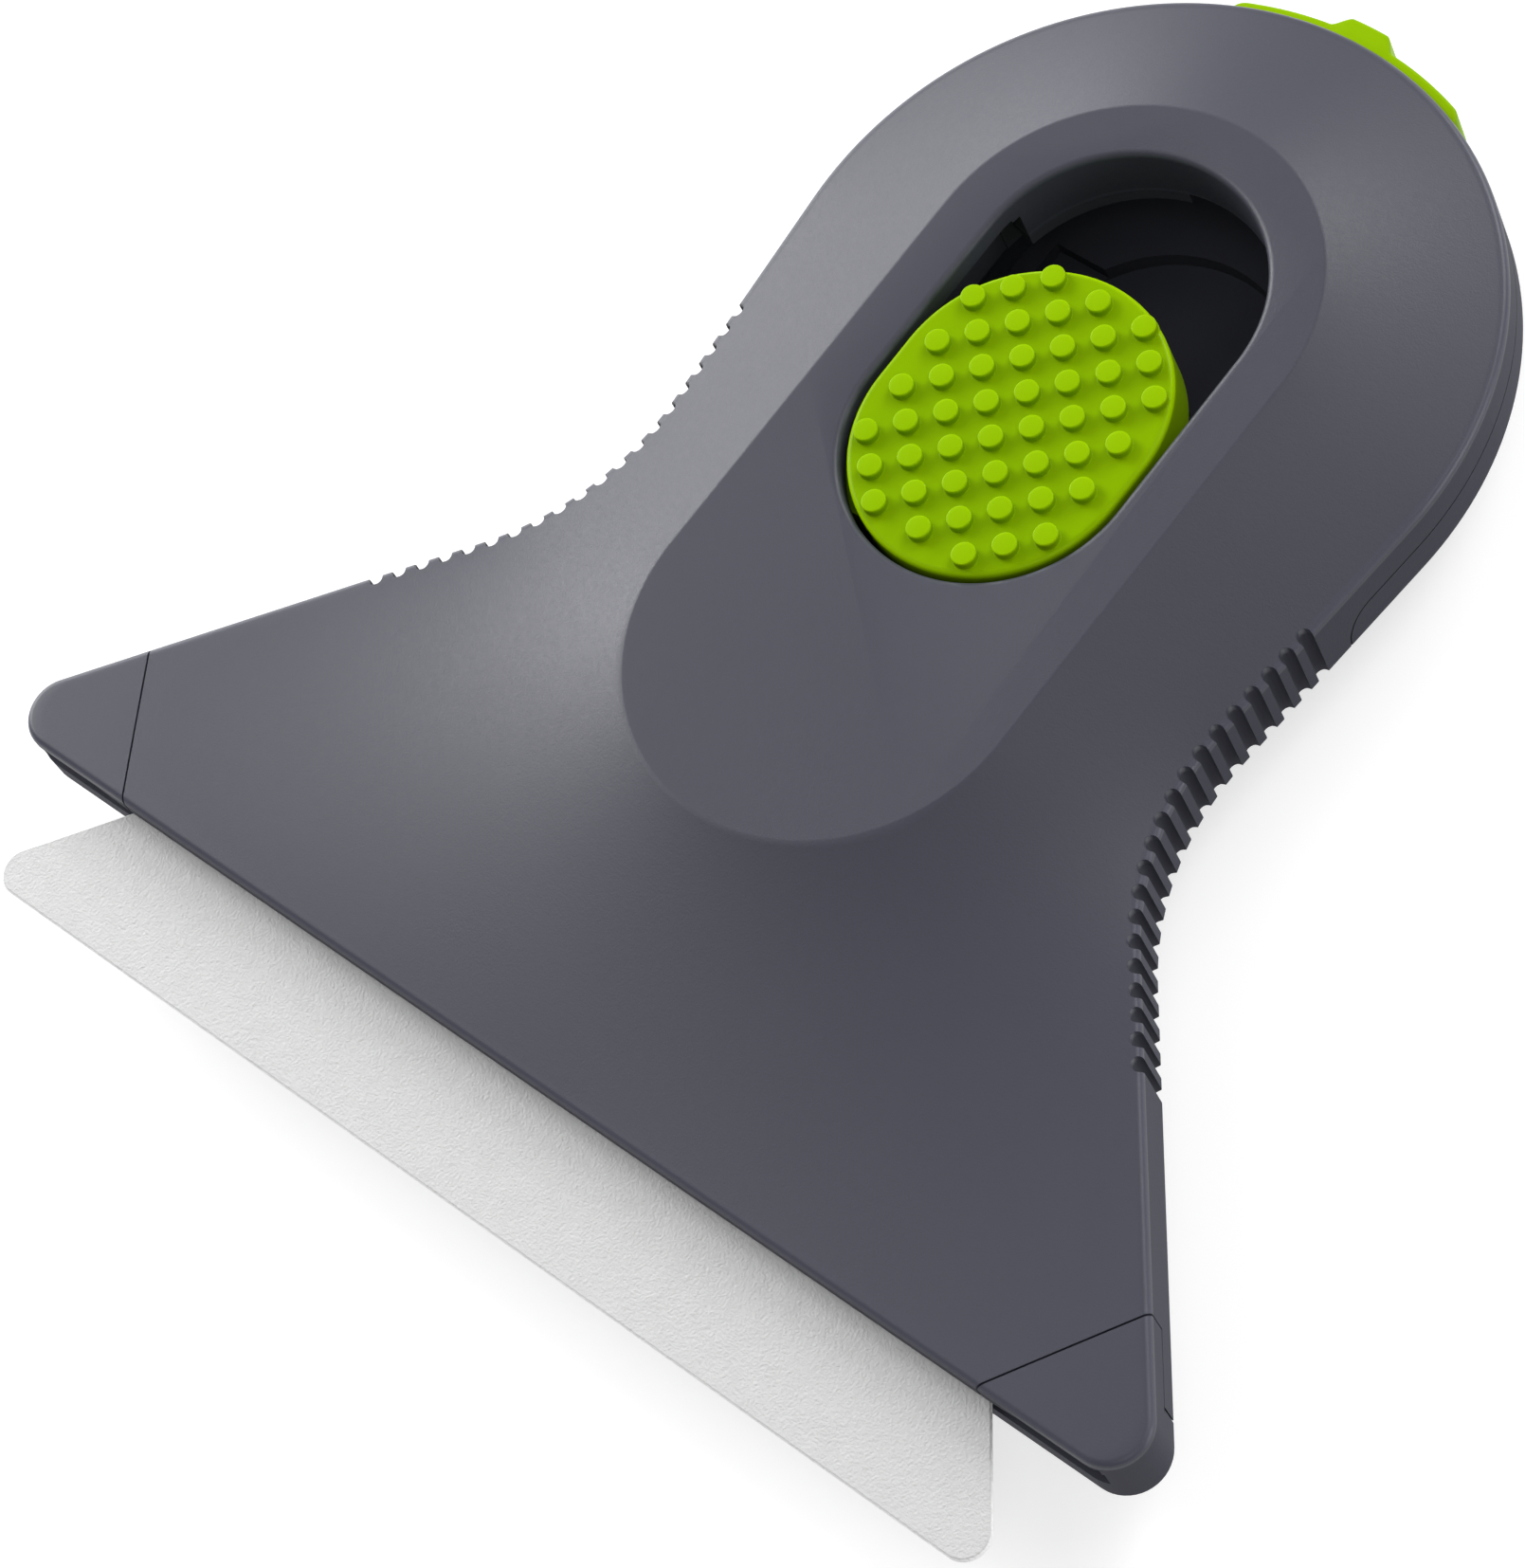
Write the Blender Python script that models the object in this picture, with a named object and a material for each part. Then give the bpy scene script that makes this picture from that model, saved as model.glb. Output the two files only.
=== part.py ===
import bpy
import bmesh
import numpy as np
from math import acos, asin, atan2, ceil, cos, pi, radians, sin, tan
from mathutils import Matrix, Vector

# Housing, seen from above. The front line carries the blade slot and the tail is round.
half_width = 0.0358
nose_radius = 0.00204
flare_angle = radians(39.7)
waist_radius = 0.01545
waist_margin = 0.00713
taper_angle = radians(5.1)
taper_length = 0.01275

# Housing, seen from the side. The underside repeats the crown and the pad of the top.
wall_height = 0.0041
crown_rise = 0.0030
rim_radius = 0.00035
pad_radius = 0.0104
pad_reach = 0.03216
mould_gap = 0.0003
shell_wall = 0.0018

# Grip grooves in both flanks. The first lies ahead of the waist's arc.
groove_count = 20
groove_lead = 0.0055
groove_pitch = 0.00122
groove_radius = 0.00033
groove_centre_depth = 0.00012

# Corners of the lower housing that wrap up to the top face.
corner_width = 0.0081
corner_edge = 0.0036
corner_depth = 0.0070
corner_lower_end = 0.0042
tail_step_lead = 0.00675
tail_step_rise = 0.0017

# Thumb slot in the pad and the slider button in it. The slot's rear arc and the pad's
# are centred a little behind the middle of the tail.
slot_set_back = 0.00035
slot_radius = 0.0076
slot_chamfer = 0.00035
button_straight = 0.00236
pad_plate = 0.0012
tail_plate = 0.0014
run_clearance = 0.0003
button_drop = 0.0001
button_edge = 0.0003
travel = 0.0069
dot_edge = 0.00166
dot_radius = 0.00058
dot_height = 0.0005
dot_sink = 0.0004
dot_margin = 0.0016
ear_reach = 0.0015
ear_thickness = 0.0016
ear_margin = 0.0011
ear_length = 0.0094

# Ceramic blade, flat on top and ground from below.
blade_side_margin = 0.0038
blade_reach = 0.0066
blade_depth = 0.0200
blade_thickness = 0.00035
blade_flare = radians(38.9)
blade_corner = 0.0011
blade_grind = 0.0010
blade_land = 0.00012
blade_hole_radius = 0.0020
blade_hole_x = 0.0100
blade_hole_y = 0.0075
blade_floor = 0.00465

# Blade slot across the front. It is higher beyond both ends of the blade.
slot_lip = 0.00115
slot_tip_lip = 0.00065
slot_tip_start = 0.0298
slot_nose_wall = 0.0012
slot_mouth_depth = 0.0005
slot_throat_wall = 0.0029
slot_throat_depth = 0.0009
slot_back_space = 0.0009

# Carrier that joins the button to the blade.
carrier_thickness = 0.0011
carrier_bar_half = 0.0130
carrier_bar_front = 0.0045
carrier_bar_length = 0.0075
carrier_stem_half = 0.0051
carrier_stem_margin = 0.0005
boss_half = 0.0046
boss_margin = 0.0021
boss_length = 0.0120
boss_height = 0.0017
peg_radius = 0.0017

# Inside of the lower housing: a ledge all round, a long recess and a round well.
ledge_half = 0.0102
ledge_height = 0.00175
ledge_overrun = 0.0108
ledge_corner = 0.0050
recess_half = 0.00905
recess_overrun = 0.00378
recess_floor = 0.00095
pocket_wall = 0.0018
well_radius = 0.00703
well_floor = 0.0008

# Collar round the tail of the thumb slot. Its left part reaches lower.
collar_lead = 0.0016
collar_drop = 0.0032
collar_step_x = 0.0018
collar_low_drop = 0.0040

# Rear latch, a curved slide on the tail with a thumb ridge.
latch_half_length = 0.00694
latch_proud = 0.0006
latch_depth = 0.00075
latch_height = 0.00265
latch_end_taper = 0.0007
ridge_proud = 0.00135
ridge_top_half = 0.00105
ridge_base_half = 0.00175
latch_turn = radians(8.0)
tail_wall = 0.0011
latch_stem_half = 0.0008
latch_stem_height = 0.0006
latch_flange = 0.0007
latch_flange_half = 0.0024
latch_flange_height = 0.0017
keeper_reach = 0.0012
keeper_post = 0.0013
keeper_height = 0.0006
foot_height = 0.0006
tongue_height = 0.0009
keeper_root = 0.0008
latch_space = 0.0045

# Stud rows from front to rear, and how finely round shapes are divided.
dot_row_counts = (3, 4, 5, 4, 5, 4, 5, 4, 5, 4, 3)
arc_sagitta = 0.00005
crown_rows = 5
ring_steps = 10
corner_steps = 6
groove_sides = 8
dot_sides = 8
dot_top_share = 0.8
hole_sides = 20
tail_sides = 48

# Working distances: how far cutters reach past a surface, the offset that keeps
# two cut faces from falling into one plane, and when two points count as one.
overshoot = 0.0012
seam_step = 0.0001
same_point = 0.00001
weld_distance = 0.000001

# Derived levels, from the underside pad up.
low_rim = crown_rise
top_rim = crown_rise + wall_height
mid_plane = crown_rise + wall_height / 2
pad_top = crown_rise + wall_height + crown_rise
half_gap = mould_gap / 2
blade_top = blade_floor + run_clearance + blade_thickness
slot_roof = top_rim - slot_lip
carrier_low = blade_top + run_clearance
carrier_top = carrier_low + carrier_thickness
carrier_roof = carrier_top + run_clearance
plate_underside = pad_top - pad_plate
ear_top = plate_underside - run_clearance
button_low = ear_top - ear_thickness
button_top = pad_top - button_drop


def half_outline(inset):
    """Corner points and arcs of the right half, from the front line to the tail."""
    nose = Vector((half_width - nose_radius, nose_radius))
    side = Vector((-sin(flare_angle), cos(flare_angle)))
    taper = Vector((sin(taper_angle), cos(taper_angle)))
    side_out = Vector((cos(flare_angle), sin(flare_angle)))
    taper_out = Vector((cos(taper_angle), -sin(taper_angle)))
    waist_start = nose + side_out * nose_radius + side * side_length()
    waist_centre = waist_start + side_out * waist_radius
    waist_end = waist_centre - taper_out * waist_radius
    tail_start = waist_end + taper * taper_length
    tail_radius = tail_start.x / cos(taper_angle)
    tail_centre = Vector((0, tail_start.y + tail_radius * sin(taper_angle)))
    points = []
    if inset < nose_radius:
        points += straight(Vector((0, inset)), Vector((nose.x, inset)))
        points += arc(nose, nose_radius - inset, -pi / 2, flare_angle)
    else:
        reach = (nose.y + overshoot) / cos(flare_angle)
        points.append(nose + side_out * (nose_radius - inset) - side * reach)
    points += straight(nose + side_out * (nose_radius - inset), waist_start - side_out * inset)
    points += arc(waist_centre, waist_radius + inset, pi + flare_angle, pi - taper_angle)
    points += straight(waist_end - taper_out * inset, tail_start - taper_out * inset)
    points += arc(tail_centre, tail_radius - inset, -taper_angle, pi / 2)
    return tidy_points(points), tail_centre.y, tail_radius


def side_length():
    """Length of the flared side, so that the waist ends at its own half width."""
    waist_half = pad_radius + waist_margin
    width = half_width - nose_radius + (nose_radius + waist_radius) * cos(flare_angle)
    return (width - waist_radius * cos(taper_angle) - waist_half) / sin(flare_angle)


def straight(start, end):
    return [start, end]


def arc(centre, radius, first, last):
    """Points on an arc, close enough for its sagitta to stay small."""
    step = 2 * acos(max(1 - arc_sagitta / max(radius, arc_sagitta), 0.5))
    count = max(ceil(abs(last - first) / step), 2)
    angles = [first + (last - first) * i / count for i in range(count + 1)]
    return [Vector((centre[0] + radius * cos(a), centre[1] + radius * sin(a))) for a in angles]


def tidy_points(points):
    kept = [points[0]]
    for point in points[1:]:
        if (point - kept[-1]).length > same_point:
            kept.append(point)
    return kept


def mirrored(half):
    """Closed outline from a right half that starts and ends on the centre line."""
    left = [Vector((-p.x, p.y)) for p in reversed(half) if p.x > same_point]
    return list(half) + left


def split_long(points, spacing):
    """The same closed outline with its long stretches divided."""
    out = []
    for a, b in zip(points, points[1:] + points[:1]):
        parts = max(ceil((b - a).length / spacing), 1)
        out += [a + (b - a) * i / parts for i in range(parts)]
    return out


rim_half, tail_y, tail_radius = half_outline(0)
slot_rear_centre = tail_y + slot_set_back
pad_front = slot_rear_centre - pad_reach
slot_front = slot_rear_centre - travel - button_straight - slot_radius
button_front = slot_front + run_clearance
button_radius = slot_radius - run_clearance
button_rear_centre = slot_rear_centre - travel
dot_spacing = (button_radius - dot_edge) / 2
dot_first_row = button_front + dot_margin
ear_front = button_front + ear_margin
boss_front = button_front + boss_margin
carrier_stem_end = boss_front + boss_length + carrier_stem_margin
blade_half_edge = half_width - blade_side_margin
slot_mouth_half = half_width - slot_nose_wall
slot_throat_half = half_width - slot_throat_wall
slot_back = blade_depth - blade_reach + travel + slot_back_space
ledge_front = slot_back + pocket_wall
ledge_rear = slot_rear_centre + ledge_overrun
recess_front = ledge_front + ledge_half - recess_half
recess_rear = slot_rear_centre + recess_overrun
corner_seam_front = half_width - corner_width
corner_seam_side = (half_width - corner_edge, corner_depth)
tail_step = tail_y - tail_step_lead
rear_end = tail_y + tail_radius + ridge_proud
tail_wall_inner = tail_radius - latch_depth - run_clearance - tail_wall
shift = (rear_end - blade_reach) / 2


def make_collection(name):
    collection = bpy.data.collections.new(name)
    bpy.context.scene.collection.children.link(collection)
    return collection


def material(name, colour, roughness, metallic=0.0):
    item = bpy.data.materials.new(name)
    item.use_nodes = True
    shader = item.node_tree.nodes["Principled BSDF"]
    shader.inputs["Base Color"].default_value = (*colour, 1)
    shader.inputs["Roughness"].default_value = roughness
    shader.inputs["Metallic"].default_value = metallic
    return item


def add_object(name, mesh, collection, surface=None):
    item = bpy.data.objects.new(name, mesh)
    collection.objects.link(item)
    if surface:
        mesh.materials.append(surface)
    if collection is cutters:
        item.hide_render = True
        item.display_type = "WIRE"
    return item


def flat_shape(name, outline, low, high, collection=None, surface=None):
    """A flat outline of one thickness, as a filled curve turned into a mesh."""
    curve = bpy.data.curves.new(name, "CURVE")
    curve.dimensions = "2D"
    curve.fill_mode = "BOTH"
    curve.extrude = (high - low) / 2
    spline = curve.splines.new("POLY")
    spline.points.add(len(outline) - 1)
    for slot, point in zip(spline.points, outline):
        slot.co = (point[0], point[1], 0, 1)
    spline.use_cyclic_u = True
    guide = bpy.data.objects.new(name + "_curve", curve)
    bpy.context.scene.collection.objects.link(guide)
    guide.location.z = (low + high) / 2
    bpy.context.view_layer.update()
    ready = guide.evaluated_get(bpy.context.evaluated_depsgraph_get())
    mesh = bpy.data.meshes.new_from_object(ready)
    mesh.transform(guide.matrix_world)
    bpy.data.objects.remove(guide)
    close_mesh(mesh)
    mesh.name = name
    return add_object(name, mesh, collection or cutters, surface)


def close_mesh(mesh):
    work = bmesh.new()
    work.from_mesh(mesh)
    bmesh.ops.remove_doubles(work, verts=work.verts, dist=weld_distance)
    bmesh.ops.recalc_face_normals(work, faces=work.faces)
    work.to_mesh(mesh)
    work.free()


def box(name, x, y, z, collection=None, surface=None):
    """A box from its three (low, high) pairs."""
    bpy.ops.mesh.primitive_cube_add(size=1)
    item = bpy.context.object
    size = (x[1] - x[0], y[1] - y[0], z[1] - z[0])
    middle = ((x[0] + x[1]) / 2, (y[0] + y[1]) / 2, (z[0] + z[1]) / 2)
    item.data.transform(Matrix.Translation(middle) @ Matrix.Diagonal((*size, 1)))
    return rehome(item, name, collection or cutters, surface)


def cylinder(name, centre, radius, low, high, sides, collection=None, surface=None):
    bpy.ops.mesh.primitive_cylinder_add(vertices=sides, radius=radius, depth=high - low)
    item = bpy.context.object
    item.data.transform(Matrix.Translation((centre[0], centre[1], (low + high) / 2)))
    return rehome(item, name, collection or cutters, surface)


def rehome(item, name, collection, surface):
    for other in list(item.users_collection):
        other.objects.unlink(item)
    mesh = item.data
    bpy.data.objects.remove(item)
    mesh.name = name
    return add_object(name, mesh, collection, surface)


def loft(name, rings, heights, collection=None, surface=None):
    """A closed solid through rings of equal point counts, one level or a list for each."""
    count = len(rings[0])
    verts = []
    for ring, height in zip(rings, heights):
        levels = height if hasattr(height, "__len__") else [height] * count
        verts += [(p[0], p[1], z) for p, z in zip(ring, levels)]
    faces = []
    for r in range(len(rings) - 1):
        for i in range(count):
            j = (i + 1) % count
            faces.append((r * count + i, r * count + j, (r + 1) * count + j, (r + 1) * count + i))
    faces.append(tuple(reversed(range(count))))
    faces.append(tuple(range((len(rings) - 1) * count, len(rings) * count)))
    mesh = bpy.data.meshes.new(name)
    mesh.from_pydata(verts, [], faces)
    close_mesh(mesh)
    return add_object(name, mesh, collection or cutters, surface)


def boolean(target, tool, operation):
    step = target.modifiers.new(tool.name, "BOOLEAN")
    step.operation = operation
    step.solver = "EXACT"
    step.object = tool
    return target


def cut(target, *tools):
    for tool in tools:
        boolean(target, tool, "DIFFERENCE")
    return target


def add(target, *tools):
    for tool in tools:
        boolean(target, tool, "UNION")
    return target


def stadium(front, rear_centre, radius):
    """Outline with round ends. Front is the foremost point, rear_centre the rear arc's middle."""
    first = front + radius
    right = arc((0, first), radius, -pi / 2, 0) + arc((0, rear_centre), radius, 0, pi / 2)
    return mirrored(tidy_points(right))


def ring_part(middle_y, inner, outer, first, last):
    """Part of a ring. Angles run from straight back towards the left."""
    centre = (0, middle_y)
    outward = arc(centre, outer, pi / 2 + first, pi / 2 + last)
    inward = arc(centre, inner, pi / 2 + last, pi / 2 + first)
    return outward + inward


def sector(inner, outer, first, last):
    """Part of a ring about the tail's middle."""
    return ring_part(tail_y, inner, outer, first, last)


def copy_mesh(source, name, collection, surface):
    item = add_object(name, source.data.copy(), collection)
    item.data.name = name
    item.data.materials.clear()
    item.data.materials.append(surface)
    return item


def pad_points(rim):
    """For each rim point, the pad edge point that the crown runs up to."""
    centre = Vector((0, pad_front + pad_radius))
    out = []
    for p in rim:
        side = 1 if p.x >= 0 else -1
        if p.y <= centre.y:
            reach = (p - centre).normalized() * pad_radius
            out.append(centre + reach)
        elif p.y <= slot_rear_centre:
            out.append(Vector((side * pad_radius, p.y)))
        else:
            rear = Vector((0, slot_rear_centre))
            out.append(rear + (p - rear).normalized() * pad_radius)
    return out


def crown_heights(rings):
    """Heights of a film stretched from the rim, at nought, up to the pad, at one.

    Each inner point settles at the weighted mean of its neighbours."""
    grid = np.array([[(p.x, p.y) for p in ring] for ring in rings])
    rows, columns = grid.shape[:2]
    index = np.arange(rows * columns).reshape(rows, columns)
    after = np.roll(index, -1, axis=1)
    corners = [index[:-1], after[:-1], after[1:], index[1:]]
    first = np.stack([c.ravel() for c in (corners[0], corners[1], corners[2])], 1)
    second = np.stack([c.ravel() for c in (corners[0], corners[2], corners[3])], 1)
    triangles = np.concatenate([first, second])
    flat = grid.reshape(-1, 2)
    weights = np.zeros((len(flat), len(flat)))
    for a, b, c in ((0, 1, 2), (1, 2, 0), (2, 0, 1)):
        i, j, k = triangles[:, a], triangles[:, b], triangles[:, c]
        u, v = flat[i] - flat[k], flat[j] - flat[k]
        share = 0.5 * (u * v).sum(1) / np.abs(u[:, 0] * v[:, 1] - u[:, 1] * v[:, 0])
        np.add.at(weights, (i, j), share)
        np.add.at(weights, (j, i), share)
    stiffness = np.diag(weights.sum(1)) - weights
    known = np.zeros(len(flat), bool)
    known[index[0]] = True
    known[index[-1]] = True
    level = np.zeros(len(flat))
    level[index[-1]] = 1
    free = ~known
    load = -stiffness[free][:, known] @ level[known]
    level[free] = np.linalg.solve(stiffness[free][:, free], load)
    return level.reshape(rows, columns)


def body_solid():
    """The whole outer form: crown, wall and the same crown upside down."""
    spacing = pad_radius / 4
    outer = split_long(mirrored(rim_half), spacing)
    inner = []
    for p in outer:
        inner.append(nearest_inset(p))
    pads = pad_points(inner)
    shares = [i / crown_rows for i in range(crown_rows + 1)]
    rings = [[a.lerp(b, s) for a, b in zip(inner, pads)] for s in shares]
    levels = crown_heights(rings)
    fillet = [(1 - cos(t), sin(t)) for t in (0, pi / 4)]
    upper = [[a.lerp(b, f[0]) for a, b in zip(outer, inner)] for f in fillet]
    upper_z = [top_rim - rim_radius + rim_radius * f[1] for f in fillet]
    lower_z = [low_rim + rim_radius - rim_radius * f[1] for f in fillet]
    top_z = [list(top_rim + crown_rise * row) for row in levels]
    bottom_z = [list(low_rim - crown_rise * row) for row in levels]
    all_rings = rings[::-1] + upper[::-1] + upper + rings
    all_z = bottom_z[::-1] + lower_z[::-1] + upper_z + top_z
    return loft("body_form", all_rings, all_z)


def nearest_inset(point):
    """The rim point moved in by the rim radius, square to the outline."""
    best = None
    outline = mirrored(rim_half)
    for a, b in zip(outline, outline[1:] + outline[:1]):
        along = b - a
        share = min(max((point - a).dot(along) / along.length_squared, 0), 1)
        distance = (a + along * share - point).length
        inward = Vector((-along.y, along.x)).normalized()
        if distance < same_point:
            best = inward if best is None else (best + inward)
    return point + best.normalized() * rim_radius


def side_profile(gap):
    """Tail part of the lower housing in side view, with its rounded front corner."""
    front = tail_step - gap
    top = mid_plane - half_gap + gap
    rise = tail_step_rise + gap
    corner = [(front + rise * (1 - cos(t)), top - rise + rise * sin(t))
              for t in (i * pi / 12 for i in range(7))]
    rear = tail_y + tail_radius + overshoot
    level = top + seam_step * 3
    low = -overshoot * 3
    return [(front, low)] + corner[:-1] + [(corner[-1][0], level), (rear, level), (rear, low)]


def across(name, profile, half):
    """A side-view outline carried across the whole width."""
    item = flat_shape(name, profile, -half, half)
    turn = Matrix(((0, 0, 1, 0), (1, 0, 0, 0), (0, 1, 0, 0), (0, 0, 0, 1)))
    item.data.transform(turn)
    return item


def corner_plan(gap, side, rear):
    """Plan of a front corner beyond its slanting seam, up to the level rear."""
    start = Vector((corner_seam_front, 0))
    end = Vector(corner_seam_side)
    along = (end - start).normalized()
    inward = Vector((-along.y, along.x)) * gap
    first = start + inward - along * overshoot * 2
    last = start + inward + along * ((rear - start.y) / along.y)
    wide = half_width + overshoot
    plan = [first, Vector((wide, first.y)), Vector((wide, rear)), last]
    return [Vector((side * p.x, p.y)) for p in plan]


def corner_shape(name, gap, side):
    """A front corner: full height at the tip, and only above the middle further back."""
    rear = corner_seam_side[1] + overshoot
    low = mid_plane + half_gap - gap
    lower_end = corner_lower_end + gap - seam_step
    wide = half_width + overshoot * 2
    item = flat_shape(name, corner_plan(gap, side, rear), -overshoot, pad_top)
    under = box(name + "_under", (-wide, wide), (lower_end, rear + overshoot), (-overshoot * 2, low))
    return cut(item, under)


def tongue_shape(name, grow):
    """Part of the upper housing's wall that reaches down behind the latch."""
    first = -asin((latch_stem_half + mould_gap * 4) / tail_radius) - gap_angle(grow)
    last = latch_turn - first
    inner = tail_wall_inner + seam_step - grow
    low = mid_plane - half_gap - tongue_height - grow
    plan = sector(inner, tail_radius + overshoot, first, last)
    return flat_shape(name, plan, low, mid_plane + overshoot * 2)


def lower_region(name, gap):
    """Everything that belongs to the lower housing, grown by gap."""
    top = mid_plane - half_gap + gap
    wide = half_width + overshoot
    inset = half_outline(shell_wall + mould_gap - gap)[0]
    item = flat_shape(name, mirrored(inset), -overshoot, top + seam_step)
    tail = across(name + "_tail", side_profile(gap), half_width)
    lip = box(name + "_lip", (-wide, wide), (-overshoot * 2, corner_lower_end + gap),
              (-overshoot * 2, top + seam_step * 2))
    above = box(name + "_above", (-wide * 2, wide * 2), (-overshoot * 3, rear_end + overshoot * 2),
                (top, pad_top + overshoot))
    tongue = tongue_shape(name + "_tongue", mould_gap - gap)
    add(item, tail, lip)
    cut(item, above, tongue)
    add(item, corner_shape(name + "_corner_right", gap, 1), corner_shape(name + "_corner_left", gap, -1))
    return item


def gap_angle(gap):
    return gap / tail_radius


def groove_cutter():
    """Vertical round cutters, one pitch apart along both flanks."""
    path = rim_half
    nose_end = Vector((half_width - nose_radius * (1 - cos(flare_angle)),
                       nose_radius * (1 + sin(flare_angle))))
    start = min(range(len(path)), key=lambda i: (path[i] - nose_end).length)
    first = side_length() - groove_lead
    targets = [first + groove_pitch * i for i in range(groove_count)]
    work = bmesh.new()
    walked = 0.0
    for a, b in zip(path[start:], path[start + 1:]):
        step = (b - a).length
        while targets and targets[0] <= walked + step:
            share = (targets.pop(0) - walked) / step
            inward = Vector((-(b - a).y, (b - a).x)).normalized()
            spot = a.lerp(b, share) + inward * groove_centre_depth
            for side in (1, -1):
                place = Matrix.Translation((side * spot.x, spot.y, mid_plane))
                turn = Matrix.Rotation(atan2(inward.y, side * inward.x), 4, "Z")
                bmesh.ops.create_cone(work, cap_ends=True, segments=groove_sides,
                                      radius1=groove_radius, radius2=groove_radius,
                                      depth=wall_height + crown_rise, matrix=place @ turn)
        walked += step
    mesh = bpy.data.meshes.new("grip_grooves")
    work.to_mesh(mesh)
    work.free()
    return add_object("grip_grooves", mesh, cutters)


def blade_channel():
    half = [Vector((slot_mouth_half, -overshoot)),
            Vector((slot_mouth_half, slot_mouth_depth)), Vector((slot_throat_half, slot_throat_depth))]
    back = slot_throat_half - (slot_back - slot_throat_depth) * tan(blade_flare)
    half.append(Vector((back, slot_back)))
    main = flat_shape("blade_channel", mirrored(half), blade_floor, slot_roof)
    return [main] + slot_tips()


def slot_tips():
    """Higher mouth of the blade slot, from the blade's ends to the nose walls."""
    wide = slot_mouth_half - seam_step
    half = [Vector((slot_tip_start, -overshoot * 2)), Vector((wide, -overshoot * 2)),
            Vector((wide, slot_mouth_depth - seam_step)),
            Vector((slot_throat_half - seam_step, slot_throat_depth - seam_step)),
            Vector((slot_tip_start, slot_throat_depth - seam_step))]
    left = [Vector((-p.x, p.y)) for p in reversed(half)]
    roof = top_rim - slot_tip_lip
    right_tip = flat_shape("slot_tip_right", half, mid_plane, roof)
    left_tip = flat_shape("slot_tip_left", left, mid_plane, roof)
    return [right_tip, left_tip]


def plate_plan(grow, rear):
    """Plan of the carrier's plate: a bar across the blade and a stem back to the button."""
    bar_rear = carrier_bar_front + carrier_bar_length + grow
    bar_front = carrier_bar_front - grow
    wide = carrier_bar_half + grow
    narrow = carrier_stem_half + grow
    plan = [(wide, bar_front), (wide, bar_rear), (narrow, bar_rear), (narrow, rear + grow)]
    return [Vector(p) for p in plan]


def slide_channels():
    """Spaces for the carrier and for the button's ears under the pad."""
    plan = plate_plan(run_clearance, carrier_stem_end + travel)
    plan = [p + Vector((0, travel)) if i in (1, 2) else p for i, p in enumerate(plan)]
    ear = button_radius + ear_reach + run_clearance
    ear_y = (slot_front - run_clearance, ear_front + ear_length + travel + run_clearance)
    carrier_channel = flat_shape("carrier_channel", mirrored(plan), mid_plane, carrier_roof)
    ear_channel = box("ear_channel", (-ear, ear), ear_y, (mid_plane - seam_step, plate_underside))
    return [carrier_channel, ear_channel]


def thumb_slot():
    """The slot through the pad, wider at its chamfered edge."""
    rings = []
    levels = [mid_plane - seam_step * 2, pad_top - slot_chamfer, pad_top, pad_top + slot_chamfer]
    for grow in (0, 0, slot_chamfer, slot_chamfer):
        rings.append(stadium_ring(slot_front - grow, slot_rear_centre, slot_radius + grow))
    return loft("thumb_slot", rings, levels)


def stadium_ring(front, rear_centre, radius):
    """Stadium with a fixed number of points, so that rings can be lofted."""
    first = front + radius
    right = []
    for i in range(ring_steps + 1):
        t = -pi / 2 + pi / 2 * i / ring_steps
        right.append(Vector((radius * cos(t), first + radius * sin(t))))
    for i in range(ring_steps + 1):
        t = pi / 2 * i / ring_steps
        right.append(Vector((radius * cos(t), rear_centre + radius * sin(t))))
    return right[:-1] + [Vector((0, rear_centre + radius))] + \
        [Vector((-p.x, p.y)) for p in reversed(right[1:-1])]


def tail_cavity():
    """Space behind the thumb slot. A collar stays standing round the slot's tail."""
    wall = button_radius + ear_reach + run_clearance
    roof = pad_top - tail_plate
    low = mid_plane - seam_step * 3
    cavity = cylinder("tail_cavity", (0, slot_rear_centre), wall, low, roof, tail_sides)
    end = acos(collar_lead / slot_radius)
    step = asin(collar_step_x / slot_radius)
    inner = slot_radius - run_clearance
    all_round = ring_part(slot_rear_centre, inner, wall + overshoot, -end, end)
    collar = flat_shape("slot_collar", all_round, pad_top - collar_drop, pad_top)
    left = ring_part(slot_rear_centre, inner - seam_step, wall + overshoot * 2, step, end)
    low_collar = flat_shape("slot_collar_low", left, pad_top - collar_low_drop, pad_top + seam_step)
    return cut(cavity, collar, low_collar)


def latch_spaces():
    """Recess round the tail, the slot for the latch's stem and the room behind the wall."""
    end = asin(latch_half_length / tail_radius)
    gap = gap_angle(run_clearance)
    half = latch_height / 2 + run_clearance
    floor = tail_radius - latch_depth - run_clearance
    band = sector(floor, tail_radius + overshoot, -end - gap, end + gap + latch_turn)
    recess = flat_shape("latch_recess", band, mid_plane - half, mid_plane + half)
    stem = asin(latch_stem_half / tail_radius)
    middle = latch_stem_middle()
    half = latch_stem_height / 2 + run_clearance
    inner = tail_wall_inner
    path = sector(inner - overshoot, floor + overshoot, -stem - gap, stem + gap + latch_turn)
    slot = flat_shape("latch_slot", path, middle - half, middle + half)
    flange = asin(latch_flange_half / inner) + gap_angle(run_clearance * 2)
    room_top = middle + latch_flange_height / 2 + run_clearance
    room_low = latch_foot_low() - run_clearance
    room = flat_shape("latch_room", sector(inner - latch_space, inner, -flange, flange + latch_turn),
                      room_low, room_top)
    return recess, slot, room


def latch_stem_middle():
    return mid_plane + latch_stem_height / 2 + run_clearance - half_gap


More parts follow.
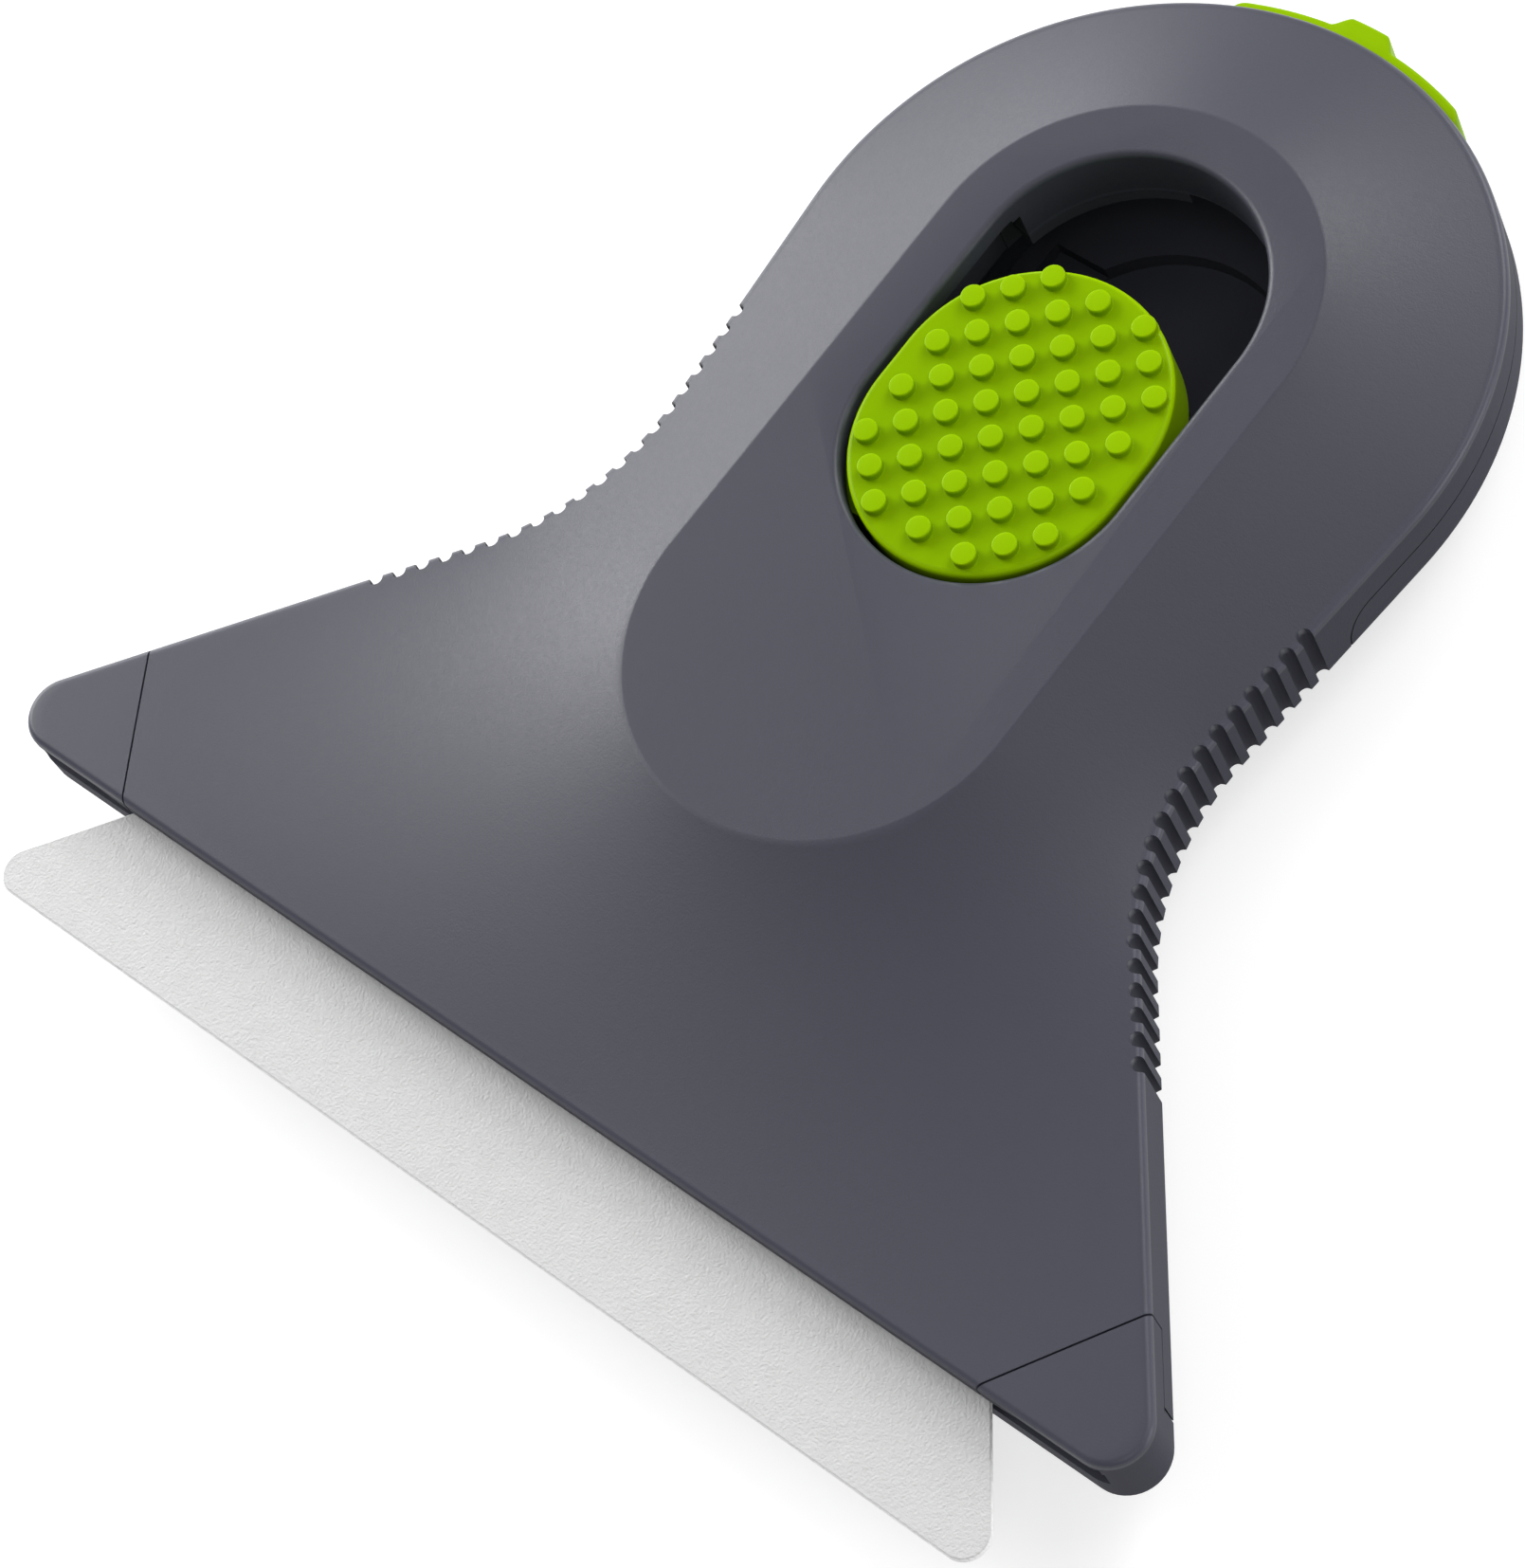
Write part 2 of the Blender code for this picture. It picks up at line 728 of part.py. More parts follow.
def latch_foot_low():
    return mid_plane - keeper_height - run_clearance - foot_height


def keeper(inner):
    """Hook of the lower housing that the latch's foot locks under."""
    half = asin(latch_stem_half / inner) + gap_angle(run_clearance)
    reach = inner - latch_flange - run_clearance * 2
    tip = reach - keeper_reach
    top = mid_plane
    post = flat_shape("keeper_post", sector(tip - keeper_post, tip, -half, half),
                      low_rim - keeper_root, top)
    near = half - gap_angle(seam_step)
    arm = flat_shape("keeper_arm", sector(tip - keeper_post / 2, reach, -near, near),
                     top - keeper_height, top - seam_step)
    return add(post, arm)


def make_upper_housing(body, region, channel, latch_tools):
    item = copy_mesh(body, "upper_housing", parts, housing_grey)
    cut(item, region, *channel, *slide_channels(), thumb_slot(), tail_cavity(), *latch_tools)
    return cut(item, groove_cutter())


def lower_pocket():
    """Space inside the lower housing: the ledge's level, the recess and the well."""
    middle = (ledge_half - ledge_corner, ledge_rear - ledge_corner)
    half = [Vector((ledge_half, ledge_front))]
    half += arc(middle, ledge_corner, 0, pi / 2)
    ledge = flat_shape("ledge_space", mirrored(half), ledge_height, mid_plane)
    recess = box("long_recess", (-recess_half, recess_half), (recess_front, recess_rear),
                 (recess_floor, mid_plane - seam_step))
    well = cylinder("tail_well", (0, slot_rear_centre), well_radius,
                    well_floor, mid_plane - seam_step * 2, tail_sides)
    return [ledge, recess, well]


def make_lower_housing(body, region, channel, latch_tools):
    item = copy_mesh(body, "lower_housing", parts, housing_dark)
    boolean(item, region, "INTERSECT")
    cut(item, *channel, *lower_pocket(), *latch_tools)
    return add(item, keeper(tail_wall_inner))


def make_button():
    rings = []
    levels = [button_low]
    rings.append(stadium_ring(button_front, button_rear_centre, button_radius))
    for i in range(3):
        t = pi / 4 * i
        inset = button_edge * (1 - cos(t))
        rings.append(stadium_ring(button_front + inset, button_rear_centre, button_radius - inset))
        levels.append(button_top - button_edge + button_edge * sin(t))
    item = loft("slider_button", rings, levels, parts, lime)
    reach = button_radius + ear_reach
    ears = box("button_ears", (-reach, reach), (ear_front, ear_front + ear_length),
               (button_low + seam_step, ear_top))
    add(item, ears)
    wide = boss_half + run_clearance
    ends = (boss_front - run_clearance, boss_front + boss_length + run_clearance)
    roof = carrier_top + boss_height + run_clearance
    socket = box("boss_socket", (-wide, wide), ends, (button_low - overshoot, roof))
    cut(item, socket)
    return add(item, button_dots())


def button_dots():
    """Low round studs on a square lattice turned by 45 degrees."""
    work = bmesh.new()
    for row, count in enumerate(dot_row_counts):
        y = dot_first_row + row * dot_spacing / 2
        for i in range(count):
            x = (i - (count - 1) / 2) * dot_spacing
            middle = button_top + (dot_height - dot_sink) / 2
            bmesh.ops.create_cone(work, cap_ends=True, segments=dot_sides, radius1=dot_radius,
                                  radius2=dot_radius * dot_top_share, depth=dot_height + dot_sink,
                                  matrix=Matrix.Translation((x, y, middle)))
    mesh = bpy.data.meshes.new("button_dots")
    work.to_mesh(mesh)
    work.free()
    return add_object("button_dots", mesh, cutters)


def make_carrier():
    item = flat_shape("blade_carrier", mirrored(plate_plan(0, carrier_stem_end)),
                      carrier_low, carrier_top, parts, black)
    boss = box("carrier_boss", (-boss_half, boss_half), (boss_front, boss_front + boss_length),
               (carrier_low + half_gap, carrier_top + boss_height))
    add(item, boss)
    for side, word in ((1, "right"), (-1, "left")):
        end = blade_floor + run_clearance + half_gap
        peg = cylinder("peg_" + word, (side * blade_hole_x, blade_hole_y), peg_radius,
                       end, carrier_low + half_gap, hole_sides)
        add(item, peg)
    return item


def blade_ring(grow):
    """Blade outline seen from above, its cutting edge set back by grow."""
    edge = -blade_reach + grow
    turn = pi / 2 + blade_flare
    corner = blade_corner - grow / 2
    centre = Vector((blade_half_edge - blade_corner, edge + corner))
    right = []
    for i in range(corner_steps + 1):
        t = -pi / 2 + turn * i / corner_steps
        right.append(centre + Vector((corner * cos(t), corner * sin(t))))
    side = Vector((-sin(blade_flare), cos(blade_flare)))
    rear = -blade_reach + blade_depth
    last = right[-1]
    right.append(last + side * ((rear - last.y) / side.y))
    return mirrored(right)


def make_blade():
    low = blade_floor + run_clearance
    rings = [blade_ring(blade_grind), blade_ring(0), blade_ring(0)]
    levels = [low, blade_top - blade_land, blade_top]
    item = loft("ceramic_blade", rings, levels, parts, white)
    for side, word in ((1, "right"), (-1, "left")):
        hole = cylinder("blade_hole_" + word, (side * blade_hole_x, blade_hole_y), blade_hole_radius,
                        low - overshoot, blade_top + overshoot, hole_sides)
        cut(item, hole)
    return item


def make_latch():
    """Curved band with a bevelled thumb ridge, and a foot that reaches inside."""
    end = asin(latch_half_length / tail_radius)
    back = tail_radius - latch_depth
    face = tail_radius + latch_proud
    taper = latch_end_taper / tail_radius
    top = asin(ridge_top_half / face)
    base = asin(ridge_base_half / face)
    plan = arc((0, tail_y), back, pi / 2 + end, pi / 2 - end)
    plan += [polar(tail_radius, -end), polar(face, -end + taper)]
    plan += arc((0, tail_y), face, pi / 2 - end + taper, pi / 2 - base)[1:]
    plan += [polar(tail_radius + ridge_proud, -top), polar(tail_radius + ridge_proud, top)]
    plan += arc((0, tail_y), face, pi / 2 + base, pi / 2 + end - taper)
    plan += [polar(tail_radius, end)]
    item = flat_shape("rear_latch", tidy_points(plan), mid_plane - latch_height / 2,
                      mid_plane + latch_height / 2, parts, lime)
    inner = tail_wall_inner - run_clearance
    middle = latch_stem_middle()
    stem = asin(latch_stem_half / tail_radius)
    neck = flat_shape("latch_neck", sector(inner - latch_flange / 2, back + half_gap, -stem, stem),
                      middle - latch_stem_height / 2, middle + latch_stem_height / 2)
    wide = asin(latch_flange_half / inner)
    low = middle - latch_flange_height / 2
    flange = flat_shape("latch_flange", sector(inner - latch_flange, inner, -wide, wide),
                        low, middle + latch_flange_height / 2)
    foot_low = latch_foot_low()
    leg_plan = sector(inner - latch_flange + seam_step, inner - seam_step, -stem, stem)
    leg = flat_shape("latch_leg", leg_plan, foot_low + seam_step, low + half_gap)
    foot_inner = inner - latch_flange - keeper_reach + run_clearance
    foot = flat_shape("latch_foot", sector(foot_inner, inner - half_gap, -stem, stem),
                      foot_low, foot_low + foot_height)
    return add(item, neck, flange, leg, foot)


def polar(radius, angle):
    return Vector((-radius * sin(angle), tail_y + radius * cos(angle)))


def move_to_frame(items):
    for item in items:
        item.data.transform(Matrix.Translation((0, -shift, 0)))


def hold(name, place, children):
    """An empty on a joint's axis that carries the pieces that move together."""
    pivot = bpy.data.objects.new(name, None)
    parts.objects.link(pivot)
    pivot.location = place
    bpy.context.view_layer.update()
    for child in children:
        child.parent = pivot
        child.matrix_parent_inverse = pivot.matrix_world.inverted()


def smooth_round_faces(items):
    for item in items:
        item.data.shade_smooth()
        item.data.set_sharp_from_angle(angle=radians(12))


for old in list(bpy.data.objects):
    bpy.data.objects.remove(old)
parts = make_collection("ceramic_scraper")
cutters = make_collection("cutters")
housing_grey = material("housing_grey", (0.075, 0.077, 0.090), 0.55)
housing_dark = material("housing_dark", (0.070, 0.072, 0.084), 0.55)
lime = material("lime_plastic", (0.22, 0.47, 0.01), 0.5)
black = material("black_plastic", (0.02, 0.02, 0.022), 0.5)
white = material("white_ceramic", (0.82, 0.82, 0.80), 0.45)

body = body_solid()
channel = blade_channel()
latch_tools = latch_spaces()
upper = make_upper_housing(body, lower_region("upper_limit", mould_gap), channel, latch_tools)
lower = make_lower_housing(body, lower_region("lower_limit", 0), channel, latch_tools)
button = make_button()
carrier = make_carrier()
blade = make_blade()
latch = make_latch()

move_to_frame([o for o in bpy.data.objects if o.type == "MESH"])
hold("slider_joint", (0, -shift, carrier_low), [button, carrier, blade])
hold("latch_joint", (0, tail_y - shift, mid_plane), [latch])
smooth_round_faces([upper, lower, button, carrier, blade, latch])
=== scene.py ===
import math
import bmesh
import bpy
import numpy as np
from mathutils import Matrix, Vector


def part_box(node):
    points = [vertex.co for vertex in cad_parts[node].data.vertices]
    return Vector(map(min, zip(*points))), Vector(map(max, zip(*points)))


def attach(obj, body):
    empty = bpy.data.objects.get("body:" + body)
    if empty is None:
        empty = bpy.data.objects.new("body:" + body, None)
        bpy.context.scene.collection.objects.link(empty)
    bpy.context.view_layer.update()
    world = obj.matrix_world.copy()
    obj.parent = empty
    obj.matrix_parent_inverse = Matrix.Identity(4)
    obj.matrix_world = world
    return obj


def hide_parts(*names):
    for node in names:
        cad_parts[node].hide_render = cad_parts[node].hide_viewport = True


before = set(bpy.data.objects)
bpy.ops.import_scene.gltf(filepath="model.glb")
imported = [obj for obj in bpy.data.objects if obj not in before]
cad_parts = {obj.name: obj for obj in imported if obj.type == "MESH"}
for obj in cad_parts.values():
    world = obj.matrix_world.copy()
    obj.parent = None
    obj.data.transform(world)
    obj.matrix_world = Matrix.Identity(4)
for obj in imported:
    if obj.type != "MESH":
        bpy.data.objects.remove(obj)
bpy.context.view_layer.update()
scene = bpy.context.scene
scene.view_settings.view_transform = "Standard"
mm = 0.001

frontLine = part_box("lower_housing")[0].y
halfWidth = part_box("lower_housing")[1].x
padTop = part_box("upper_housing")[1].z
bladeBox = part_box("ceramic_blade")

# the moulded body: plan outline, side view, parting line
housing = {
    "noseRadius": 2.04 * mm,
    "flare": math.radians(39.7),
    "waistRadius": 15.45 * mm,
    "waistHalf": 17.53 * mm,
    "taper": math.radians(5.1),
    "taperLength": 12.75 * mm,
    "wallHeight": 4.1 * mm,
    "crownRise": 3.0 * mm,
    "rimRadius": 0.38 * mm,
    "padRadius": 10.4 * mm,
    "padReach": 32.16 * mm,
    "edgeRing": 0.1 * mm,
    "seam": 0.1 * mm,
    "shellWall": 1.8 * mm,
    "fitGap": 0.3 * mm,
    "cornerWidth": 8.1 * mm,
    "cornerEdge": 3.6 * mm,
    "cornerDepth": 7.0 * mm,
    "cornerLowerEnd": 4.2 * mm,
    "tailStepLead": 6.75 * mm,
    "tailStepRise": 1.7 * mm,
    "reach": 1.2 * mm,
    "step": 0.1 * mm,
    "rimSteps": 7,
    "loopShare": 1.4,
    "floorDetail": 0.6,
    "sharpFrom": 32,
}
lowRim = housing["crownRise"]
topRim = lowRim + housing["wallHeight"]
midPlane = (lowRim + topRim) / 2


def arcPoints(centre, radius, first, last, count):
    # centre + radius (cos a, sin a), with a running evenly from first to last
    a = np.linspace(first, last, count)
    return np.stack([centre[0] + radius * np.cos(a), centre[1] + radius * np.sin(a)], 1)


def linePoints(start, end, count):
    # (1 - t) start + t end, with t running evenly from 0 to 1
    t = np.linspace(0, 1, count)[:, None]
    return np.asarray(start) * (1 - t) + np.asarray(end) * t


def circlePoints(centre, radius, count=96):
    return arcPoints(centre, radius, 0, 2 * math.pi, count + 1)[:-1]


def halfOutline(inset, detail=1.0):
    # front line, nose arc, flared side, waist arc, taper and tail arc of the right half, all
    # moved in by inset; each stretch keeps its point count, so two insets match point by point
    h = housing
    flare, taper = h["flare"], h["taper"]
    sideOut = np.array([math.cos(flare), math.sin(flare)])
    side = np.array([-math.sin(flare), math.cos(flare)])
    taperOut = np.array([math.cos(taper), -math.sin(taper)])
    nose = np.array([halfWidth - h["noseRadius"], frontLine + h["noseRadius"]])
    width = nose[0] + (h["noseRadius"] + h["waistRadius"]) * math.cos(flare)
    length = (width - h["waistRadius"] * math.cos(taper) - h["waistHalf"]) / math.sin(flare)
    waistStart = nose + sideOut * h["noseRadius"] + side * length
    waistCentre = waistStart + sideOut * h["waistRadius"]
    waistEnd = waistCentre - taperOut * h["waistRadius"]
    tailStart = waistEnd + np.array([math.sin(taper), math.cos(taper)]) * h["taperLength"]
    radius = tailStart[0] / math.cos(taper)
    centreY = tailStart[1] + radius * math.sin(taper)
    counts = [max(int(c * detail), 3) for c in (60, 18, 44, 28, 26, 52)]
    if inset < h["noseRadius"]:
        front = linePoints((0, frontLine + inset), (nose[0], frontLine + inset), counts[0])
        turn = arcPoints(nose, h["noseRadius"] - inset, -math.pi / 2, flare, counts[1])[1:]
    else:
        reach = (h["noseRadius"] + h["reach"]) / math.cos(flare)
        front = (nose + sideOut * (h["noseRadius"] - inset) - side * reach)[None]
        turn = front[:0]
    points = np.concatenate([
        front, turn,
        linePoints(nose + sideOut * (h["noseRadius"] - inset),
                   waistStart - sideOut * inset, counts[2])[1:],
        arcPoints(waistCentre, h["waistRadius"] + inset,
                  math.pi + flare, math.pi - taper, counts[3])[1:],
        linePoints(waistEnd - taperOut * inset, tailStart - taperOut * inset, counts[4])[1:],
        arcPoints((0, centreY), radius - inset, -taper, math.pi / 2, counts[5])[1:]])
    if inset < h["noseRadius"]:
        points[0, 0] = 0
    points[-1, 0] = 0
    return points, centreY, radius, length


rimHalf, tailY, tailRadius, sideLength = halfOutline(0)

# the thumb slot and the space under it
slot = {
    "setBack": 0.35 * mm,
    "radius": 7.6 * mm,
    "straight": 2.36 * mm,
    "travel": 6.9 * mm,
    "chamfer": 0.35 * mm,
    "plate": 1.2 * mm,
    "tailPlate": 1.4 * mm,
    "earRoom": 9.1 * mm,
    "earFront": 1.4 * mm,
    "earLength": 16.6 * mm,
    "collarLead": 1.6 * mm,
    "collarDrop": 3.2 * mm,
    "collarStep": 1.8 * mm,
    "collarLowDrop": 4.0 * mm,
    "collarLip": 0.3 * mm,
}
slotCentre = tailY + slot["setBack"]
slotFront = slotCentre - slot["travel"] - slot["straight"] - slot["radius"]
padFront = slotCentre - housing["padReach"]


def mirrored(half):
    # right half, then the same points with x turned over, back to the start
    inner = half[half[:, 0] > 1e-7]
    return np.concatenate([half, inner[::-1] * (-1, 1)])


def mirroredValues(points, values):
    inner = points[:, 0] > 1e-7
    return np.concatenate([values, values[inner][::-1]])


def placed(name, data):
    item = bpy.data.objects.new(name, data)
    scene.collection.objects.link(item)
    return item


def newObject(name, verts, faces):
    mesh = bpy.data.meshes.new(name)
    mesh.from_pydata(np.asarray(verts).tolist(), [], faces)
    mesh.update()
    mesh.shade_smooth()
    return placed(name, mesh)


def ringFaces(rows, count):
    # quads between neighbouring rings of a closed grid, with a cap at each end
    grid = np.arange(rows * count).reshape(rows, count)
    after = np.roll(grid, -1, axis=1)
    quads = np.stack([grid[:-1], after[:-1], after[1:], grid[1:]], -1).reshape(-1, 4)
    return quads, grid[0, ::-1], grid[-1]


def ringSolid(name, rings):
    # a closed solid through rings of equal length
    rings = np.asarray(rings)
    quads, first, last = ringFaces(*rings.shape[:2])
    return newObject(name, rings.reshape(-1, 3), quads.tolist() + [first.tolist(), last.tolist()])


def manySolids(name, rings, places):
    # the same closed solid at every place: vertex = ring point + place, and the faces of each
    # copy are shifted by the vertices before it
    rings, places = np.asarray(rings), np.asarray(places)
    quads, first, last = ringFaces(*rings.shape[:2])
    size = rings.shape[0] * rings.shape[1]
    shifts = np.arange(len(places)) * size
    verts = (rings.reshape(-1, 3)[None] + places[:, None]).reshape(-1, 3)
    faces = (quads[None] + shifts[:, None, None]).reshape(-1, 4).tolist()
    faces += (first[None] + shifts[:, None]).tolist() + (last[None] + shifts[:, None]).tolist()
    return newObject(name, verts, faces)


def atHeight(outline, z):
    return np.column_stack([outline, np.full(len(outline), z)])


def polygonArea(p):
    # half the sum of x y' - x' y over the edges
    q = np.roll(p, -1, axis=0)
    return 0.5 * (p[:, 0] * q[:, 1] - q[:, 0] * p[:, 1]).sum()


def prism(name, outline, low, high):
    outline = np.asarray(outline, float)
    if polygonArea(outline) < 0:
        outline = outline[::-1]
    return ringSolid(name, [atHeight(outline, low), atHeight(outline, high)])


def prismAcross(name, profile, half):
    # a side view (y, z) carried across from -half to half
    profile = np.asarray(profile)
    if polygonArea(profile) < 0:
        profile = profile[::-1]
    return ringSolid(name, [np.column_stack([np.full(len(profile), x), profile])
                            for x in (-half, half)])


def block(name, x, y, z):
    return prism(name, [(x[0], y[0]), (x[1], y[0]), (x[1], y[1]), (x[0], y[1])], z[0], z[1])


def combine(target, tools, operation="DIFFERENCE"):
    # boolean with each tool in turn, applied at once; the tools are used up
    for tool in tools:
        step = target.modifiers.new(tool.name, "BOOLEAN")
        step.operation = operation
        step.solver = "EXACT"
        step.object = tool
    ready = target.evaluated_get(bpy.context.evaluated_depsgraph_get())
    mesh = bpy.data.meshes.new_from_object(ready)
    target.modifiers.clear()
    target.data = mesh
    for tool in tools:
        bpy.data.objects.remove(tool)
    return target


def fixNormals(item):
    work = bmesh.new()
    work.from_mesh(item.data)
    bmesh.ops.recalc_face_normals(work, faces=work.faces)
    work.to_mesh(item.data)
    work.free()


def sharpen(item, degrees):
    item.data.shade_smooth()
    item.data.set_sharp_from_angle(angle=math.radians(degrees))


def crownShares(rings):
    # heights of a film stretched from the rim, at 0, to the pad, at 1, on the half outline:
    # each inner point rests at the cotangent-weighted mean of its neighbours
    rows, columns = rings.shape[:2]
    index = np.arange(rows * columns).reshape(rows, columns)
    a, b, c, d = index[:-1, :-1], index[:-1, 1:], index[1:, 1:], index[1:, :-1]
    triangles = np.concatenate([np.stack(t, -1).reshape(-1, 3) for t in ((a, b, c), (a, c, d))])
    flat = rings.reshape(-1, 2)
    stiffness = np.zeros((len(flat), len(flat)))
    for p, q, r in ((0, 1, 2), (1, 2, 0), (2, 0, 1)):
        i, j, k = triangles[:, p], triangles[:, q], triangles[:, r]
        u, v = flat[i] - flat[k], flat[j] - flat[k]
        weight = 0.5 * (u * v).sum(1) / np.abs(u[:, 0] * v[:, 1] - u[:, 1] * v[:, 0])
        for s, t, sign in ((i, j, -1), (j, i, -1), (i, i, 1), (j, j, 1)):
            np.add.at(stiffness, (s, t), sign * weight)
    share = np.zeros(rows * columns)
    share[index[-1]] = 1
    free = index[1:-1].ravel()
    known = np.concatenate([index[0], index[-1]])
    load = -stiffness[np.ix_(free, known)] @ share[known]
    share[free] = np.linalg.solve(stiffness[np.ix_(free, free)], load)
    return share.reshape(rows, columns)


def padEdge(rim, radius):
    # each rim point's partner on the pad's edge: radial at both ends, level between them
    frontCentre = np.array([0, padFront + housing["padRadius"]])
    rearCentre = np.array([0, slotCentre])
    fromFront = rim - frontCentre
    fromRear = rim - rearCentre
    front = frontCentre + radius * fromFront / np.linalg.norm(fromFront, axis=1)[:, None]
    rear = rearCentre + radius * fromRear / np.linalg.norm(fromRear, axis=1)[:, None]
    side = np.column_stack([np.full(len(rim), radius), rim[:, 1]])
    out = np.where((rim[:, 1] <= frontCentre[1])[:, None], front, side)
    return np.where((rim[:, 1] > slotCentre)[:, None], rear, out)


def housingForm(name):
    # the whole moulded body: pad, crown, rim fillet and wall, then the same upside down
    h = housing
    inner = halfOutline(h["rimRadius"])[0]
    edge = padEdge(inner, h["padRadius"])
    shares = np.array([0, .02, .06, .12, .2, .3, .4, .5, .6, .7, .8, .88, .95, .985, 1])
    plan = inner[None] * (1 - shares[:, None, None]) + edge[None] * shares[:, None, None]
    rise = crownShares(plan) * h["crownRise"]
    crown = [np.column_stack([mirrored(p), mirroredValues(p, z)]) for p, z in zip(plan, rise)]
    crown.append(np.column_stack([mirrored(padEdge(inner, h["padRadius"] - h["edgeRing"])),
                                  np.full(len(crown[0]), h["crownRise"])]))
    fillet = []
    for turn in np.linspace(0, math.pi / 2, h["rimSteps"] + 1)[:-1]:
        outline = mirrored(halfOutline(h["rimRadius"] * (1 - math.cos(turn)))[0])
        fillet.append((outline, h["rimRadius"] * (math.sin(turn) - 1)))
    outer = mirrored(rimHalf)
    loop = h["rimRadius"] * h["loopShare"]
    upper = [atHeight(outer, topRim - loop)] + [atHeight(o, topRim + z) for o, z in fillet]
    upper += [c + (0, 0, topRim) for c in crown]
    lower = [atHeight(outer, lowRim + loop)] + [atHeight(o, lowRim - z) for o, z in fillet]
    lower += [c * (1, 1, -1) + (0, 0, lowRim) for c in crown]
    return ringSolid(name, lower[::-1] + upper)


def ringPart(centreY, inner, outer, first, last, count=24):
    # part of a ring, angles from straight back towards the left
    outward = arcPoints((0, centreY), outer, math.pi / 2 + first, math.pi / 2 + last, count)
    inward = arcPoints((0, centreY), inner, math.pi / 2 + last, math.pi / 2 + first, count)
    return np.concatenate([outward, inward])


def stadium(front, rearCentre, radius, steps=40):
    # two half circles of the same radius joined by straight sides
    right = np.concatenate([
        arcPoints((0, front + radius), radius, -math.pi / 2, 0, steps),
        arcPoints((0, rearCentre), radius, 0, math.pi / 2, steps)])
    right[0, 0] = 0
    right[-1, 0] = 0
    return mirrored(right)


# the blade slot across the front, the carrier's channel and the room inside the lower half
bladeSlot = {
    "floor": 4.8 * mm,
    "lip": 1.15 * mm,
    "tipLip": 0.65 * mm,
    "tipStart": 28.2 * mm,
    "tipFull": 30.0 * mm,
    "noseWall": 1.2 * mm,
    "mouthDepth": 0.5 * mm,
    "throatWall": 2.9 * mm,
    "throatDepth": 0.9 * mm,
    "back": 21.2 * mm,
    "flare": math.radians(38.9),
}
inside = {
    "plateHalf": 13.3 * mm,
    "plateFront": 4.2 * mm,
    "plateRear": 19.2 * mm,
    "stemHalf": 5.4 * mm,
    "stemRear": 51.76 * mm,
    "plateRoof": 7.0 * mm,
    "ledgeHalf": 10.2 * mm,
    "ledgeFront": 23.0 * mm,
    "ledgeOverrun": 10.8 * mm,
    "ledgeCorner": 5.0 * mm,
    "ledgeHeight": 1.75 * mm,
    "recessHalf": 9.05 * mm,
    "recessFront": 24.15 * mm,
    "recessOverrun": 3.78 * mm,
    "recessFloor": 0.95 * mm,
    "wellRadius": 7.03 * mm,
    "wellFloor": 0.8 * mm,
}


def cornerTool(name, gap, side):
    # the tip beyond the slanting seam: full height at the nose, upper half only further back
    h = housing
    start = np.array([halfWidth - h["cornerWidth"], frontLine])
    end = np.array([halfWidth - h["cornerEdge"], frontLine + h["cornerDepth"]])
    along = (end - start) / np.linalg.norm(end - start)
    inward = np.array([-along[1], along[0]]) * gap
    rear = end[1] + h["reach"]
    first = start + inward - along * 2 * h["reach"]
    last = start + inward + along * ((rear - start[1]) / along[1])
    wide = halfWidth + h["reach"]
    plan = np.array([first, (wide, first[1]), (wide, rear), last]) * (side, 1)
    tool = prism(name, plan, -h["reach"], padTop)
    under = block(name + "Under", (-2 * wide, 2 * wide),
                  (frontLine + h["cornerLowerEnd"] - h["step"] + gap, rear + h["reach"]),
                  (-2 * h["reach"], midPlane + h["seam"] / 2 - gap))
    return combine(tool, [under])


def lowerRegion(name, gap):
    # all that belongs to the lower housing, grown by gap
    h = housing
    top = midPlane - h["seam"] / 2 + gap
    wide = halfWidth + h["reach"]
    step = h["step"]
    plan = halfOutline(h["shellWall"] + h["seam"] - gap, h["floorDetail"])[0]
    floor = prism(name, mirrored(plan), -h["reach"], top + step)
    front = tailY - h["tailStepLead"] - gap
    rise = h["tailStepRise"] + gap
    turn = np.linspace(0, math.pi / 2, 17)[:-1]
    corner = np.column_stack([front + rise * (1 - np.cos(turn)), top - rise + rise * np.sin(turn)])
    rear = tailY + tailRadius + h["reach"]
    low, high = -3 * h["reach"], top + 3 * step
    profile = np.concatenate([[(front, low)], corner,
                              [(front + rise, high), (rear, high), (rear, low)]])
    tail = prismAcross(name + "Tail", profile, halfWidth)
    lip = block(name + "Lip", (-wide, wide),
                (frontLine - 2 * h["reach"], frontLine + h["cornerLowerEnd"] + gap),
                (-2 * h["reach"], top + 2 * step))
    above = block(name + "Above", (-2 * wide, 2 * wide),
                  (frontLine - 3 * h["reach"], rear + h["reach"]), (top, padTop + h["reach"]))
    combine(floor, [tail, lip], "UNION")
    combine(floor, [above, tongueTool(name + "Tongue", h["seam"] - gap)])
    tips = [cornerTool(name + label, gap, side) for label, side in (("Right", 1), ("Left", -1))]
    return combine(floor, tips, "UNION")


def bladeChannel():
    # plan of the slot: mouth, step in to the throat, then sides that follow the blade's flare
    b = bladeSlot
    throat = (halfWidth - b["throatWall"], frontLine + b["throatDepth"])
    back = frontLine + b["back"]
    mouth = halfWidth - b["noseWall"]
    half = np.array([(mouth, frontLine - housing["reach"]), (mouth, frontLine + b["mouthDepth"]),
                     throat, (throat[0] - (back - throat[1]) * math.tan(b["flare"]), back)])
    return prism("bladeChannel", mirrored(half), b["floor"], topRim - b["lip"])


